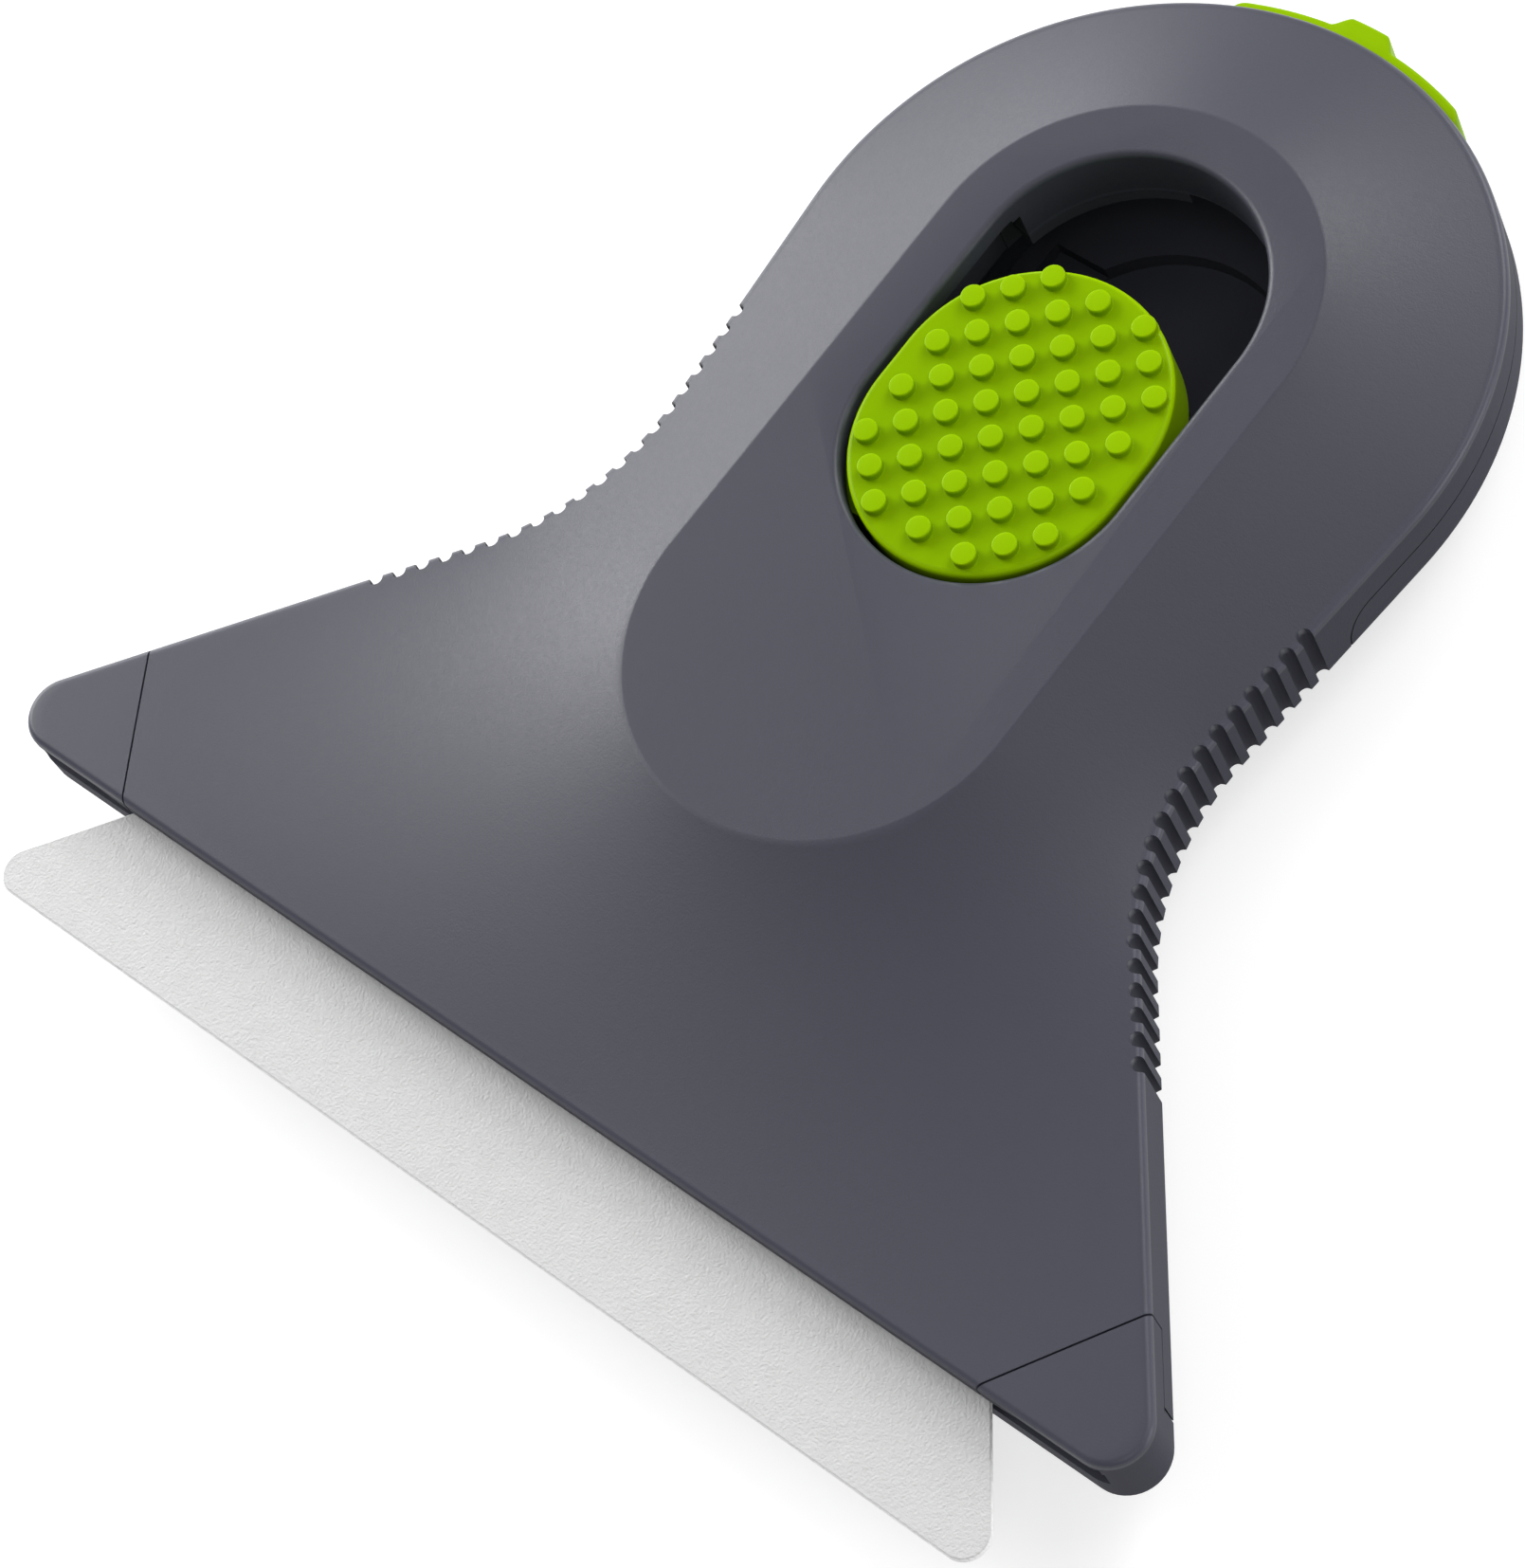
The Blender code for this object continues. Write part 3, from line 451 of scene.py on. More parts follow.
def bladeTip(side):
    # the mouth's higher end: its roof slants up from the blade's end, then runs level
    b = bladeSlot
    low, roof, high = midPlane, topRim - b["lip"], topRim - b["tipLip"]
    wide = halfWidth - b["noseWall"] - housing["step"]
    profile = np.array([(b["tipStart"], low), (wide, low), (wide, high),
                        (b["tipFull"], high), (b["tipStart"], roof)])
    depths = (frontLine - 2 * housing["reach"], frontLine + b["mouthDepth"] - housing["step"] / 2)
    rings = [np.column_stack([profile[:, 0] * side, np.full(len(profile), y), profile[:, 1]])
             for y in depths]
    tool = ringSolid("bladeTip", rings)
    fixNormals(tool)
    return tool


def carrierChannel():
    i = inside
    half = np.array([(i["plateHalf"], i["plateFront"]), (i["plateHalf"], i["plateRear"]),
                     (i["stemHalf"], i["plateRear"]), (i["stemHalf"], i["stemRear"])])
    return prism("carrierChannel", mirrored(half + (0, frontLine)), midPlane, i["plateRoof"])


def earChannel():
    return block("earChannel", (-slot["earRoom"], slot["earRoom"]),
                 (slotFront - housing["fitGap"], slotFront + slot["earFront"] + slot["earLength"]),
                 (midPlane - housing["step"], padTop - slot["plate"]))


def thumbSlot():
    # through the pad; near the top its edge swings out on a quarter circle
    turn = np.linspace(0, math.pi / 2, 7)[1:]
    grow = np.concatenate([[0, 0], 1 - np.cos(turn), [1.0]]) * slot["chamfer"]
    level = padTop + np.concatenate([[0], [-1], np.sin(turn) - 1, [1.0]]) * slot["chamfer"]
    level[0] = midPlane - 2 * housing["step"]
    rings = [atHeight(stadium(slotFront - g, slotCentre, slot["radius"] + g), z)
             for g, z in zip(grow, level)]
    return ringSolid("thumbSlot", rings)


def tailCavity():
    # round room behind the slot; the collar stays, and its left part reaches lower
    outer = slot["earRoom"] + housing["reach"]
    inner = slot["radius"] - slot["collarLip"]
    cavity = prism("tailCavity", circlePoints((0, slotCentre), slot["earRoom"]),
                   midPlane - 3 * housing["step"], padTop - slot["tailPlate"])
    end = math.acos(slot["collarLead"] / slot["radius"])
    start = math.asin(slot["collarStep"] / slot["radius"])
    collar = prism("collar", ringPart(slotCentre, inner, outer, -end, end, 60),
                   padTop - slot["collarDrop"], padTop)
    left = prism("collarLow",
                 ringPart(slotCentre, inner - housing["step"], 2 * outer, start, end, 40),
                 padTop - slot["collarLowDrop"], padTop + housing["step"])
    return combine(cavity, [collar, left])


def lowerRoom():
    # ledge with round rear corners, long recess and round well
    i = inside
    rear = slotCentre + i["ledgeOverrun"] - i["ledgeCorner"]
    centre = (i["ledgeHalf"] - i["ledgeCorner"], rear)
    half = np.concatenate([[(i["ledgeHalf"], frontLine + i["ledgeFront"])],
                           arcPoints(centre, i["ledgeCorner"], 0, math.pi / 2, 24)])
    ledge = prism("ledge", mirrored(half), i["ledgeHeight"], midPlane)
    recess = block("recess", (-i["recessHalf"], i["recessHalf"]),
                   (frontLine + i["recessFront"], slotCentre + i["recessOverrun"]),
                   (i["recessFloor"], midPlane - housing["step"]))
    well = prism("well", circlePoints((0, slotCentre), i["wellRadius"]),
                 i["wellFloor"], midPlane - 2 * housing["step"])
    return [ledge, recess, well]


# the latch round the tail, and what carries it
latch = {
    "halfLength": 6.94 * mm,
    "proud": 0.6 * mm,
    "depth": 0.75 * mm,
    "height": 2.65 * mm,
    "turn": math.radians(8),
    "ridgeProud": 1.31 * mm,
    "ridgeTopHalf": 1.0 * mm,
    "ridgeBaseHalf": 1.9 * mm,
    "endTaper": 0.8 * mm,
    "edge": 0.16 * mm,
    "recessGap": 0.12 * mm,
    "wall": 1.1 * mm,
    "stemHalf": 0.8 * mm,
    "stemHeight": 0.6 * mm,
    "stemRise": 0.45 * mm,
    "flange": 0.7 * mm,
    "flangeHalf": 2.4 * mm,
    "flangeHeight": 1.7 * mm,
    "footDrop": 1.5 * mm,
    "footHeight": 0.6 * mm,
    "hook": 1.2 * mm,
    "hookPost": 1.3 * mm,
    "hookRoot": 0.8 * mm,
    "room": 4.5 * mm,
    "tongueHalf": 2.0 * mm,
    "tongueDrop": 0.95 * mm,
    "ridgeSpan": 1.3,
    "ridgeSoftness": 0.7,
    "bandSteps": 121,
    "ridgeSteps": 81,
    "sharpFrom": 35,
}
wallInner = tailRadius - latch["depth"] - housing["fitGap"] - latch["wall"]


def tailAngle(length):
    return math.asin(length / tailRadius)


def tongueTool(name, grow):
    # the part of the upper wall that reaches down behind the latch
    first = -tailAngle(latch["tongueHalf"]) - grow / tailRadius
    plan = ringPart(tailY, wallInner + housing["step"] - grow, tailRadius + housing["reach"],
                    first, latch["turn"] - first)
    return prism(name, plan, midPlane - latch["tongueDrop"] - grow, midPlane + 2 * housing["reach"])


def latchTools():
    # recess for the band, passage for its stem and the room behind the wall
    l = latch
    gap = housing["fitGap"]
    angle = gap / tailRadius
    end = tailAngle(l["halfLength"])
    half = l["height"] / 2 + l["recessGap"]
    floor = tailRadius - l["depth"] - gap
    reach = housing["reach"]
    recess = prism("latchRecess",
                   ringPart(tailY, floor, tailRadius + reach,
                            -end - angle / 2, end + angle + l["turn"], 60),
                   midPlane - half, midPlane + half)
    stem = tailAngle(l["stemHalf"]) + angle
    middle = midPlane + l["stemRise"]
    passage = prism("latchPassage",
                    ringPart(tailY, wallInner - reach, floor + reach, -stem, stem + l["turn"]),
                    middle - l["stemHeight"] / 2 - gap, middle + l["stemHeight"] / 2 + gap)
    flange = math.asin(l["flangeHalf"] / wallInner) + 2 * angle
    room = prism("latchRoom",
                 ringPart(tailY, wallInner - l["room"], wallInner, -flange, flange + l["turn"]),
                 midPlane - l["footDrop"] - gap, middle + l["flangeHeight"] / 2 + gap)
    return [recess, passage, room]


def hookPieces():
    # post and arm of the lower housing that the latch's foot locks under
    l = latch
    gap = housing["fitGap"]
    half = math.asin(l["stemHalf"] / wallInner) + gap / tailRadius
    reach = wallInner - l["flange"] - 2 * gap
    tip = reach - l["hook"]
    near = half - housing["step"] / tailRadius
    post = prism("hookPost", ringPart(tailY, tip - l["hookPost"], tip, -half, half),
                 lowRim - l["hookRoot"], midPlane)
    arm = prism("hookArm", ringPart(tailY, tip - l["hookPost"] / 2, reach, -near, near),
                midPlane - 2 * gap, midPlane - housing["step"])
    return [post, arm]


# upright grooves in both flanks
grooves = {
    "count": 20,
    "lead": 5.5 * mm,
    "pitch": 1.22 * mm,
    "radius": 0.39 * mm,
    "sunk": 0.17 * mm,
    "overrun": 1.5 * mm,
    "sides": 24,
    "pathDetail": 4,
    "ahead": 0.05 * mm,
}


def gripGrooves():
    # round cutters at an even pitch along the outline, walked from the nose's end
    g = grooves
    path = halfOutline(0, g["pathDetail"])[0]
    walked = np.concatenate([[0], np.cumsum(np.linalg.norm(np.diff(path, axis=0), axis=1))])
    noseEnd = np.array([halfWidth - housing["noseRadius"] * (1 - math.cos(housing["flare"])),
                        frontLine + housing["noseRadius"] * (1 + math.sin(housing["flare"]))])
    start = walked[np.argmin(np.linalg.norm(path - noseEnd, axis=1))]
    places = start + sideLength - g["lead"] + g["pitch"] * np.arange(g["count"])
    spots = np.stack([np.interp(places, walked, path[:, i]) for i in (0, 1)], 1)
    ahead = np.stack([np.interp(places + g["ahead"], walked, path[:, i]) for i in (0, 1)], 1)
    along = (ahead - spots) / np.linalg.norm(ahead - spots, axis=1)[:, None]
    spots = spots + np.column_stack([-along[:, 1], along[:, 0]]) * g["sunk"]
    spots = np.concatenate([spots, spots * (-1, 1)])
    circle = circlePoints((0, 0), g["radius"], g["sides"])
    rings = [atHeight(circle, lowRim - g["overrun"]), atHeight(circle, topRim + g["overrun"])]
    return manySolids("gripGrooves", rings, atHeight(spots, 0))


def buildHousings():
    form = housingForm("housingForm")
    upper = placed("upperShell", form.data.copy())
    lower = form
    lower.name = "lowerShell"
    combine(upper, [lowerRegion("upperLimit", housing["seam"]), bladeChannel(),
                    bladeTip(1), bladeTip(-1), carrierChannel(), earChannel(),
                    thumbSlot(), tailCavity()] + latchTools())
    combine(upper, [gripGrooves()])
    combine(lower, [lowerRegion("lowerLimit", 0)], "INTERSECT")
    combine(lower, [bladeChannel(), bladeTip(1), bladeTip(-1)] + lowerRoom() + latchTools())
    combine(lower, hookPieces(), "UNION")
    return upper, lower


print("housings")
upperShell, lowerShell = buildHousings()
for shell in (upperShell, lowerShell):
    sharpen(shell, housing["sharpFrom"])

# the thumb button and its studs
button = {
    "radius": 7.3 * mm,
    "low": 7.0 * mm,
    "top": 10.0 * mm,
    "edge": 0.3 * mm,
    "earHalf": 8.8 * mm,
    "earLength": 9.4 * mm,
    "earLow": 7.1 * mm,
    "earTop": 8.6 * mm,
    "socketHalf": 4.9 * mm,
    "socketFront": 2.1 * mm,
    "socketRear": 14.7 * mm,
    "socketRoof": 8.7 * mm,
    "dotRadius": 0.62 * mm,
    "dotHeight": 0.48 * mm,
    "dotCrown": 0.012 * mm,
    "dotFoot": 0.04 * mm,
    "dotEdge": 0.06 * mm,
    "dotMargin": 1.6 * mm,
    "dotFromSide": 1.66 * mm,
    "dotRows": (3, 4, 5, 4, 5, 4, 5, 4, 5, 4, 3),
    "dotSides": 20,
    "dotCrownShare": 0.7,
    "topLoop": 1.25,
    "sideLoop": 1.3,
    "sharpFrom": 35,
}


def buttonBody():
    # stadium rings, the last ones drawn in on a quarter circle for the soft top edge
    b = button
    front = slotFront + housing["fitGap"]
    rear = slotCentre - slot["travel"]
    turns = np.linspace(0, math.pi / 2, 9)
    inset = np.concatenate([[0, 0], b["edge"] * (1 - np.cos(turns)), [b["edge"] * b["topLoop"]]])
    level = np.concatenate([[b["low"], b["top"] - b["edge"] * b["sideLoop"]],
                            b["top"] - b["edge"] * (1 - np.sin(turns)), [b["top"]]])
    return ringSolid("buttonForm", [atHeight(stadium(front + i, rear, b["radius"] - i), z)
                                    for i, z in zip(inset, level)])


def dotField():
    # one stud turned from a profile with a filleted foot and a rounded rim, repeated on a
    # square lattice that stands on its corner
    b = button
    turn = np.linspace(0, math.pi / 2, 5)
    wide, high, foot, edge = b["dotRadius"], b["dotHeight"], b["dotFoot"], b["dotEdge"]
    radius = np.concatenate([[wide + foot], wide + foot * (1 - np.sin(turn)),
                             wide - edge * (1 - np.cos(turn)), [wide * b["dotCrownShare"]]])
    height = np.concatenate([[-housing["step"]], foot * (1 - np.cos(turn)),
                             high - edge * (1 - np.sin(turn)), [high + b["dotCrown"]]])
    rings = [atHeight(circlePoints((0, 0), r, b["dotSides"]), z) for r, z in zip(radius, height)]
    spacing = (b["radius"] - b["dotFromSide"]) / 2
    front = slotFront + housing["fitGap"] + b["dotMargin"]
    rows = [np.column_stack([(np.arange(n) - (n - 1) / 2) * spacing,
                             np.full(n, front + i * spacing / 2), np.full(n, b["top"])])
            for i, n in enumerate(b["dotRows"])]
    return manySolids("dotField", rings, np.concatenate(rows))


def joinPieces(name, items):
    work = bmesh.new()
    for item in items:
        work.from_mesh(item.data)
    mesh = bpy.data.meshes.new(name)
    work.to_mesh(mesh)
    work.free()
    for item in items:
        bpy.data.objects.remove(item)
    return placed(name, mesh)


def buildButton():
    b = button
    body = buttonBody()
    earFront = slotFront + slot["earFront"]
    ears = block("ears", (-b["earHalf"], b["earHalf"]), (earFront, earFront + b["earLength"]),
                 (b["earLow"], b["earTop"]))
    combine(body, [ears], "UNION")
    socket = block("bossSocket", (-b["socketHalf"], b["socketHalf"]),
                   (slotFront + b["socketFront"], slotFront + b["socketRear"]),
                   (b["low"] - housing["reach"], b["socketRoof"]))
    combine(body, [socket])
    item = joinPieces("thumbButton", [body, dotField()])
    sharpen(item, b["sharpFrom"])
    return item


print("button")
thumbButton = buildButton()

# the blade: flat on top, a narrow chamfer round its top edge, ground from below
blade = {
    "halfEdge": halfWidth - 3.8 * mm,
    "depth": 20.0 * mm,
    "corner": 1.25 * mm,
    "grind": 1.0 * mm,
    "land": 0.03 * mm,
    "chamfer": 0.1 * mm,
    "flare": math.radians(38.9),
    "holeRadius": 2.0 * mm,
    "holeX": 10.0 * mm,
    "holeY": 7.5 * mm,
    "holeSides": 48,
    "cornerShrink": 0.5,
    "cornerLeast": 0.3 * mm,
    "sharpFrom": 30,
}


def bladeOutline(grow, side):
    # cutting edge set back by grow, flared sides and rear drawn in by side
    edge = bladeBox[0].y + grow
    corner = max(blade["corner"] - grow * blade["cornerShrink"], blade["cornerLeast"])
    centre = np.array([blade["halfEdge"] - blade["corner"] - side, edge + corner])
    turn = math.pi / 2 + blade["flare"]
    tip = arcPoints(centre, corner, -math.pi / 2, -math.pi / 2 + turn, 24)
    along = np.array([-math.sin(blade["flare"]), math.cos(blade["flare"])])
    rear = bladeBox[0].y + blade["depth"] - side
    last = tip[-1] + along * ((rear - tip[-1][1]) / along[1])
    half = np.concatenate([linePoints((0, edge), tip[0], 30)[:-1], tip,
                           linePoints(last, (0, rear), 12)])
    half[0, 0] = 0
    half[-1, 0] = 0
    return mirrored(half)


def buildBlade():
    # rings from the ground underside up to the flat top
    b = blade
    low, high = bladeBox[0].z, bladeBox[1].z
    chamfer = b["chamfer"]
    land = high - b["land"] - chamfer
    rows = [(b["grind"], chamfer, low), (b["grind"] / 2, chamfer / 2, (low + land) / 2),
            (0, 0, land), (0, 0, high - chamfer), (chamfer, chamfer, high)]
    item = ringSolid("ceramicBlade", [atHeight(bladeOutline(g, s), z) for g, s, z in rows])
    reach = housing["reach"]
    rounds = [circlePoints((x, frontLine + b["holeY"]), b["holeRadius"], b["holeSides"])
              for x in (b["holeX"], -b["holeX"])]
    combine(item, [prism("bladeHole", plan, low - reach, high + reach) for plan in rounds])
    sharpen(item, b["sharpFrom"])
    return item


print("blade")
bladePiece = buildBlade()


def softStep(x, softness):
    # straight ramp with rounded ends: share softness of 3 x^2 - 2 x^3, the rest of x
    x = np.clip(x, 0, 1)
    return x * x * (3 - 2 * x) * softness + x * (1 - softness)


def latchBand():
    # a rounded section swept round the tail: its outer radius rises to the ridge and falls
    # away on a quarter circle at both ends
    l = latch
    face = tailRadius + l["proud"]
    end = tailAngle(l["halfLength"])
    base = math.asin(l["ridgeBaseHalf"] / face)
    top = math.asin(l["ridgeTopHalf"] / face)
    near = base * l["ridgeSpan"]
    angles = np.unique(np.concatenate([np.linspace(-end, end, l["bandSteps"]),
                                       np.linspace(-near, near, l["ridgeSteps"])]))
    away = np.abs(angles)
    slope = softStep((base - away) / (base - top), l["ridgeSoftness"])
    ridge = slope * (l["ridgeProud"] - l["proud"])
    fall = np.clip((end - away) * tailRadius / l["endTaper"], 0, 1)
    outer = face + ridge - (1 - np.sqrt(1 - (1 - fall) ** 2)) * (l["proud"] + l["edge"])
    inner = tailRadius - l["depth"]
    half = l["height"] / 2
    turn = np.linspace(0, math.pi / 2, 6)
    drop = l["edge"] * (1 - np.sin(turn))
    rise = half - l["edge"] * (1 - np.cos(turn))
    z = np.concatenate([[half], rise, [0], -rise[::-1], [-half]])
    rings = []
    for angle, reach in zip(angles, outer):
        r = np.concatenate([[inner], reach - drop, [reach], (reach - drop)[::-1], [inner]])
        rings.append(np.column_stack([-r * math.sin(angle), tailY + r * math.cos(angle),
                                      midPlane + z]))
    item = ringSolid("latchBand", rings)
    fixNormals(item)
    return item


def buildLatch():
    l = latch
    gap = housing["fitGap"]
    step = housing["step"]
    item = latchBand()
    inner = wallInner - gap
    middle = midPlane + l["stemRise"]
    stem = tailAngle(l["stemHalf"])
    wide = math.asin(l["flangeHalf"] / inner)
    foot = midPlane - l["footDrop"]
    halfFlange = l["flangeHeight"] / 2
    halfStem = l["stemHeight"] / 2
    back = inner - l["flange"]
    # name, inner and outer radius, half angle, lower and upper end
    forms = [
        ("neck", inner - l["flange"] / 2, tailRadius - l["depth"] + 1.5 * step, stem,
         middle - halfStem, middle + halfStem),
        ("flange", back, inner, wide, middle - halfFlange, middle + halfFlange),
        ("leg", back + step, inner - step, stem, foot + step, middle - halfFlange + 1.5 * step),
        ("foot", back - l["hook"] + gap, inner - 1.5 * step, stem, foot, foot + l["footHeight"]),
    ]
    combine(item, [prism(name, ringPart(tailY, near, far, -half, half), low, high)
                   for name, near, far, half, low, high in forms], "UNION")
    sharpen(item, l["sharpFrom"])
    return item


print("latch")
latchPiece = buildLatch()

print("surfaces")
grainScales = ("fine", "coarse", "patch", "pitScale")
noiseSpan = (0.3, 0.7)
coarseShare = 0.4
noiseRoughness = 0.55
rampTop = 12


def grainGroup():
    # one group feeds every moulded or fired surface: height = mix of a fine and a coarse
    # noise; tone = slow noise; pits = distance to scattered points
    group = bpy.data.node_groups.new("surfaceGrain", "ShaderNodeTree")
    for label in grainScales:
        group.interface.new_socket(label, in_out="INPUT", socket_type="NodeSocketFloat")
    for label in ("Height", "Tone", "Pits"):
        group.interface.new_socket(label, in_out="OUTPUT", socket_type="NodeSocketFloat")
    nodes, links = group.nodes, group.links
    source, sink = nodes.new("NodeGroupInput"), nodes.new("NodeGroupOutput")
    place = nodes.new("ShaderNodeTexCoord")
    noises = []
    for label, detail in zip(grainScales, (2, 3, 4)):
        noise = nodes.new("ShaderNodeTexNoise")
        noise.inputs["Detail"].default_value = detail
        noise.inputs["Roughness"].default_value = noiseRoughness
        links.new(place.outputs["Object"], noise.inputs["Vector"])
        links.new(source.outputs[label], noise.inputs["Scale"])
        noises.append(noise.outputs["Fac"])
    cells = nodes.new("ShaderNodeTexVoronoi")
    links.new(place.outputs["Object"], cells.inputs["Vector"])
    links.new(source.outputs["pitScale"], cells.inputs["Scale"])
    links.new(mixed(nodes, links, coarseShare, noises[0], noises[1]), sink.inputs["Height"])
    links.new(noises[2], sink.inputs["Tone"])
    links.new(cells.outputs["Distance"], sink.inputs["Pits"])
    return group


def mixed(nodes, links, *values):
    # share, first, second: first at share 0 and second at share 1; each a number or an output
    item = nodes.new("ShaderNodeMix")
    item.data_type = "FLOAT"
    for value, spot in zip(values, (0, 2, 3)):
        if isinstance(value, float):
            item.inputs[spot].default_value = value
        else:
            links.new(value, item.inputs[spot])
    return item.outputs[0]


def multiplied(nodes, links, first, second):
    # product of two colours
    item = nodes.new("ShaderNodeMix")
    item.data_type = "RGBA"
    item.blend_type = "MULTIPLY"
    item.inputs[0].default_value = 1.0
    links.new(first, item.inputs[6])
    links.new(second, item.inputs[7])
    return item.outputs[2]


def mapped(nodes, links, source, fromRange, toRange):
    # value carried from one range to another
    item = nodes.new("ShaderNodeMapRange")
    for label, value in zip(("From Min", "From Max", "To Min", "To Max"), (*fromRange, *toRange)):
        item.inputs[label].default_value = value
    links.new(source, item.inputs["Value"])
    return item.outputs["Result"]


def colourRamp(nodes, links, source, stops):
    # colour that runs through (position, colour) stops
    ramp = nodes.new("ShaderNodeValToRGB")
    elements = ramp.color_ramp.elements
    for position, _ in stops[1:-1]:
        elements.new(position)
    for spot, (position, colour) in zip(elements, stops):
        spot.position = position
        spot.color = (*colour, 1)
    links.new(source, ramp.inputs["Fac"])
    return ramp.outputs["Color"]


def byHeight(nodes, links, stops):
    # a value that runs through (height in millimetres, value) stops, up to rampTop
    place = nodes.new("ShaderNodeTexCoord")
    split = nodes.new("ShaderNodeSeparateXYZ")
    links.new(place.outputs["Object"], split.inputs[0])
    level = mapped(nodes, links, split.outputs["Z"], (0, rampTop * mm), (0, 1))
    return colourRamp(nodes, links, level, [(z / rampTop, (v, v, v)) for z, v in stops])


def awayFromSlot(nodes, links, start):
    # 0 near the thumb slot's upright axis, 1 from start + 1 mm outwards
    place = nodes.new("ShaderNodeTexCoord")
    flat = nodes.new("ShaderNodeVectorMath")
    flat.operation = "MULTIPLY"
    flat.inputs[1].default_value = (1, 1, 0)
    far = nodes.new("ShaderNodeVectorMath")
    far.operation = "DISTANCE"
    far.inputs[1].default_value = (0, slotCentre, 0)
    links.new(place.outputs["Object"], flat.inputs[0])
    links.new(flat.outputs["Vector"], far.inputs[0])
    return mapped(nodes, links, far.outputs["Value"], (start, start + mm), (0, 1))


def finish(name, look):
    # a surface whose colour drifts with the tone and darkens in the pits, and whose roughness
    # and relief follow the grain; polish also changes with height, and the colour is lightened
    # or darkened by height to paint highlights and shade
    item = bpy.data.materials.new(name)
    item.use_nodes = True
    nodes, links = item.node_tree.nodes, item.node_tree.links
    shader = nodes["Principled BSDF"]
    shader.inputs["IOR"].default_value = look["ior"]
    shader.inputs["Specular IOR Level"].default_value = look["specular"]
    texture = nodes.new("ShaderNodeGroup")
    texture.node_tree = grain
    for label in grainScales:
        texture.inputs[label].default_value = look[label]
    base = colourRamp(nodes, links, texture.outputs["Tone"],
                      list(zip(noiseSpan, (look["dark"], look["light"]))))
    pits = colourRamp(nodes, links, texture.outputs["Pits"],
                      [(look["pitCore"], [look["pitTone"]] * 3), (look["pitEdge"], (1, 1, 1))])
    tint = multiplied(nodes, links, base, pits)
    # painted highlights and painted shade: the colour is multiplied by a value set by height
    shade = multiplied(nodes, links, tint, byHeight(nodes, links, look["paintedLightStops"]))
    links.new(shade, shader.inputs["Base Color"])
    grained = mapped(nodes, links, texture.outputs["Height"], noiseSpan,
                     (look["smooth"], look["rough"]))
    walls = byHeight(nodes, links, look["wallStops"])
    wall = mixed(nodes, links, walls, look["walled"], grained)
    keep = nodes.new("ShaderNodeMath")
    keep.operation = "MULTIPLY"
    links.new(byHeight(nodes, links, look["rubStops"]), keep.inputs[0])
    links.new(awayFromSlot(nodes, links, look["rubFrom"]), keep.inputs[1])
    worn = mixed(nodes, links, keep.outputs[0], wall, look["rubbed"])
    links.new(worn, shader.inputs["Roughness"])
    bump = nodes.new("ShaderNodeBump")
    bump.inputs["Strength"].default_value = look["bump"]
    bump.inputs["Distance"].default_value = look["bumpDepth"]
    links.new(texture.outputs["Height"], bump.inputs["Height"])
    links.new(bump.outputs["Normal"], shader.inputs["Normal"])
    return item


grain = grainGroup()
# what the looks have in common. Roughness is "walled" where wallStops is 0 and follows the
# grain from smooth to rough where it is 1; where rubStops is 1 it becomes "rubbed".
# paintedLightStops multiply the colour by height to paint highlights and shade; 1 leaves it as it
# is.
commonLook = {
    "ior": 1.5,
    "specular": 0.4,
    "bump": 0.1,
    "bumpDepth": 0.02 * mm,
    "pitCore": 0.02,
    "pitEdge": 0.12,
    "walled": 0.5,
    "wallStops": ((0, 1), (rampTop, 1)),
    "rubbed": 0.5,
    "rubFrom": -mm,
    "rubStops": ((0, 0), (rampTop, 0)),
    "paintedLightStops": ((0, 1), (rampTop, 1)),
}
housingLook = {
    **commonLook,
    "dark": (0.0583, 0.0604, 0.0847),
    "light": (0.0639, 0.066, 0.0917),
    "smooth": 0.38,
    "rough": 0.5,
    "fine": 9000,
    "coarse": 3200,
    "patch": 45,
    "bump": 0.28,
    "bumpDepth": 0.04 * mm,
    "pitScale": 5200,
    "pitEdge": 0.16,
    "pitTone": 0.75,
    "walled": 0.8,
    "wallStops": ((0, 0), (6.6, 0), (6.74, 1), (rampTop, 1)),
    "rubbed": 0.36,
    "rubFrom": 11 * mm,
    "rubStops": ((0, 0), (6.74, 0), (6.84, 1), (7.07, 1), (7.095, 0), (rampTop, 0)),
    # painted shade and highlight: all below 6.6 mm (side walls and the inside) is darkened, and the
    # band along the rim fillet, 6.9 to 7.05 mm, is lightened into a highlight line
    "paintedLightStops": ((0, 0.66), (6.6, 0.66), (6.84, 0.72), (6.9, 1), (7.05, 1), (7.09, 0.72),
                  (rampTop, 0.72)),
}
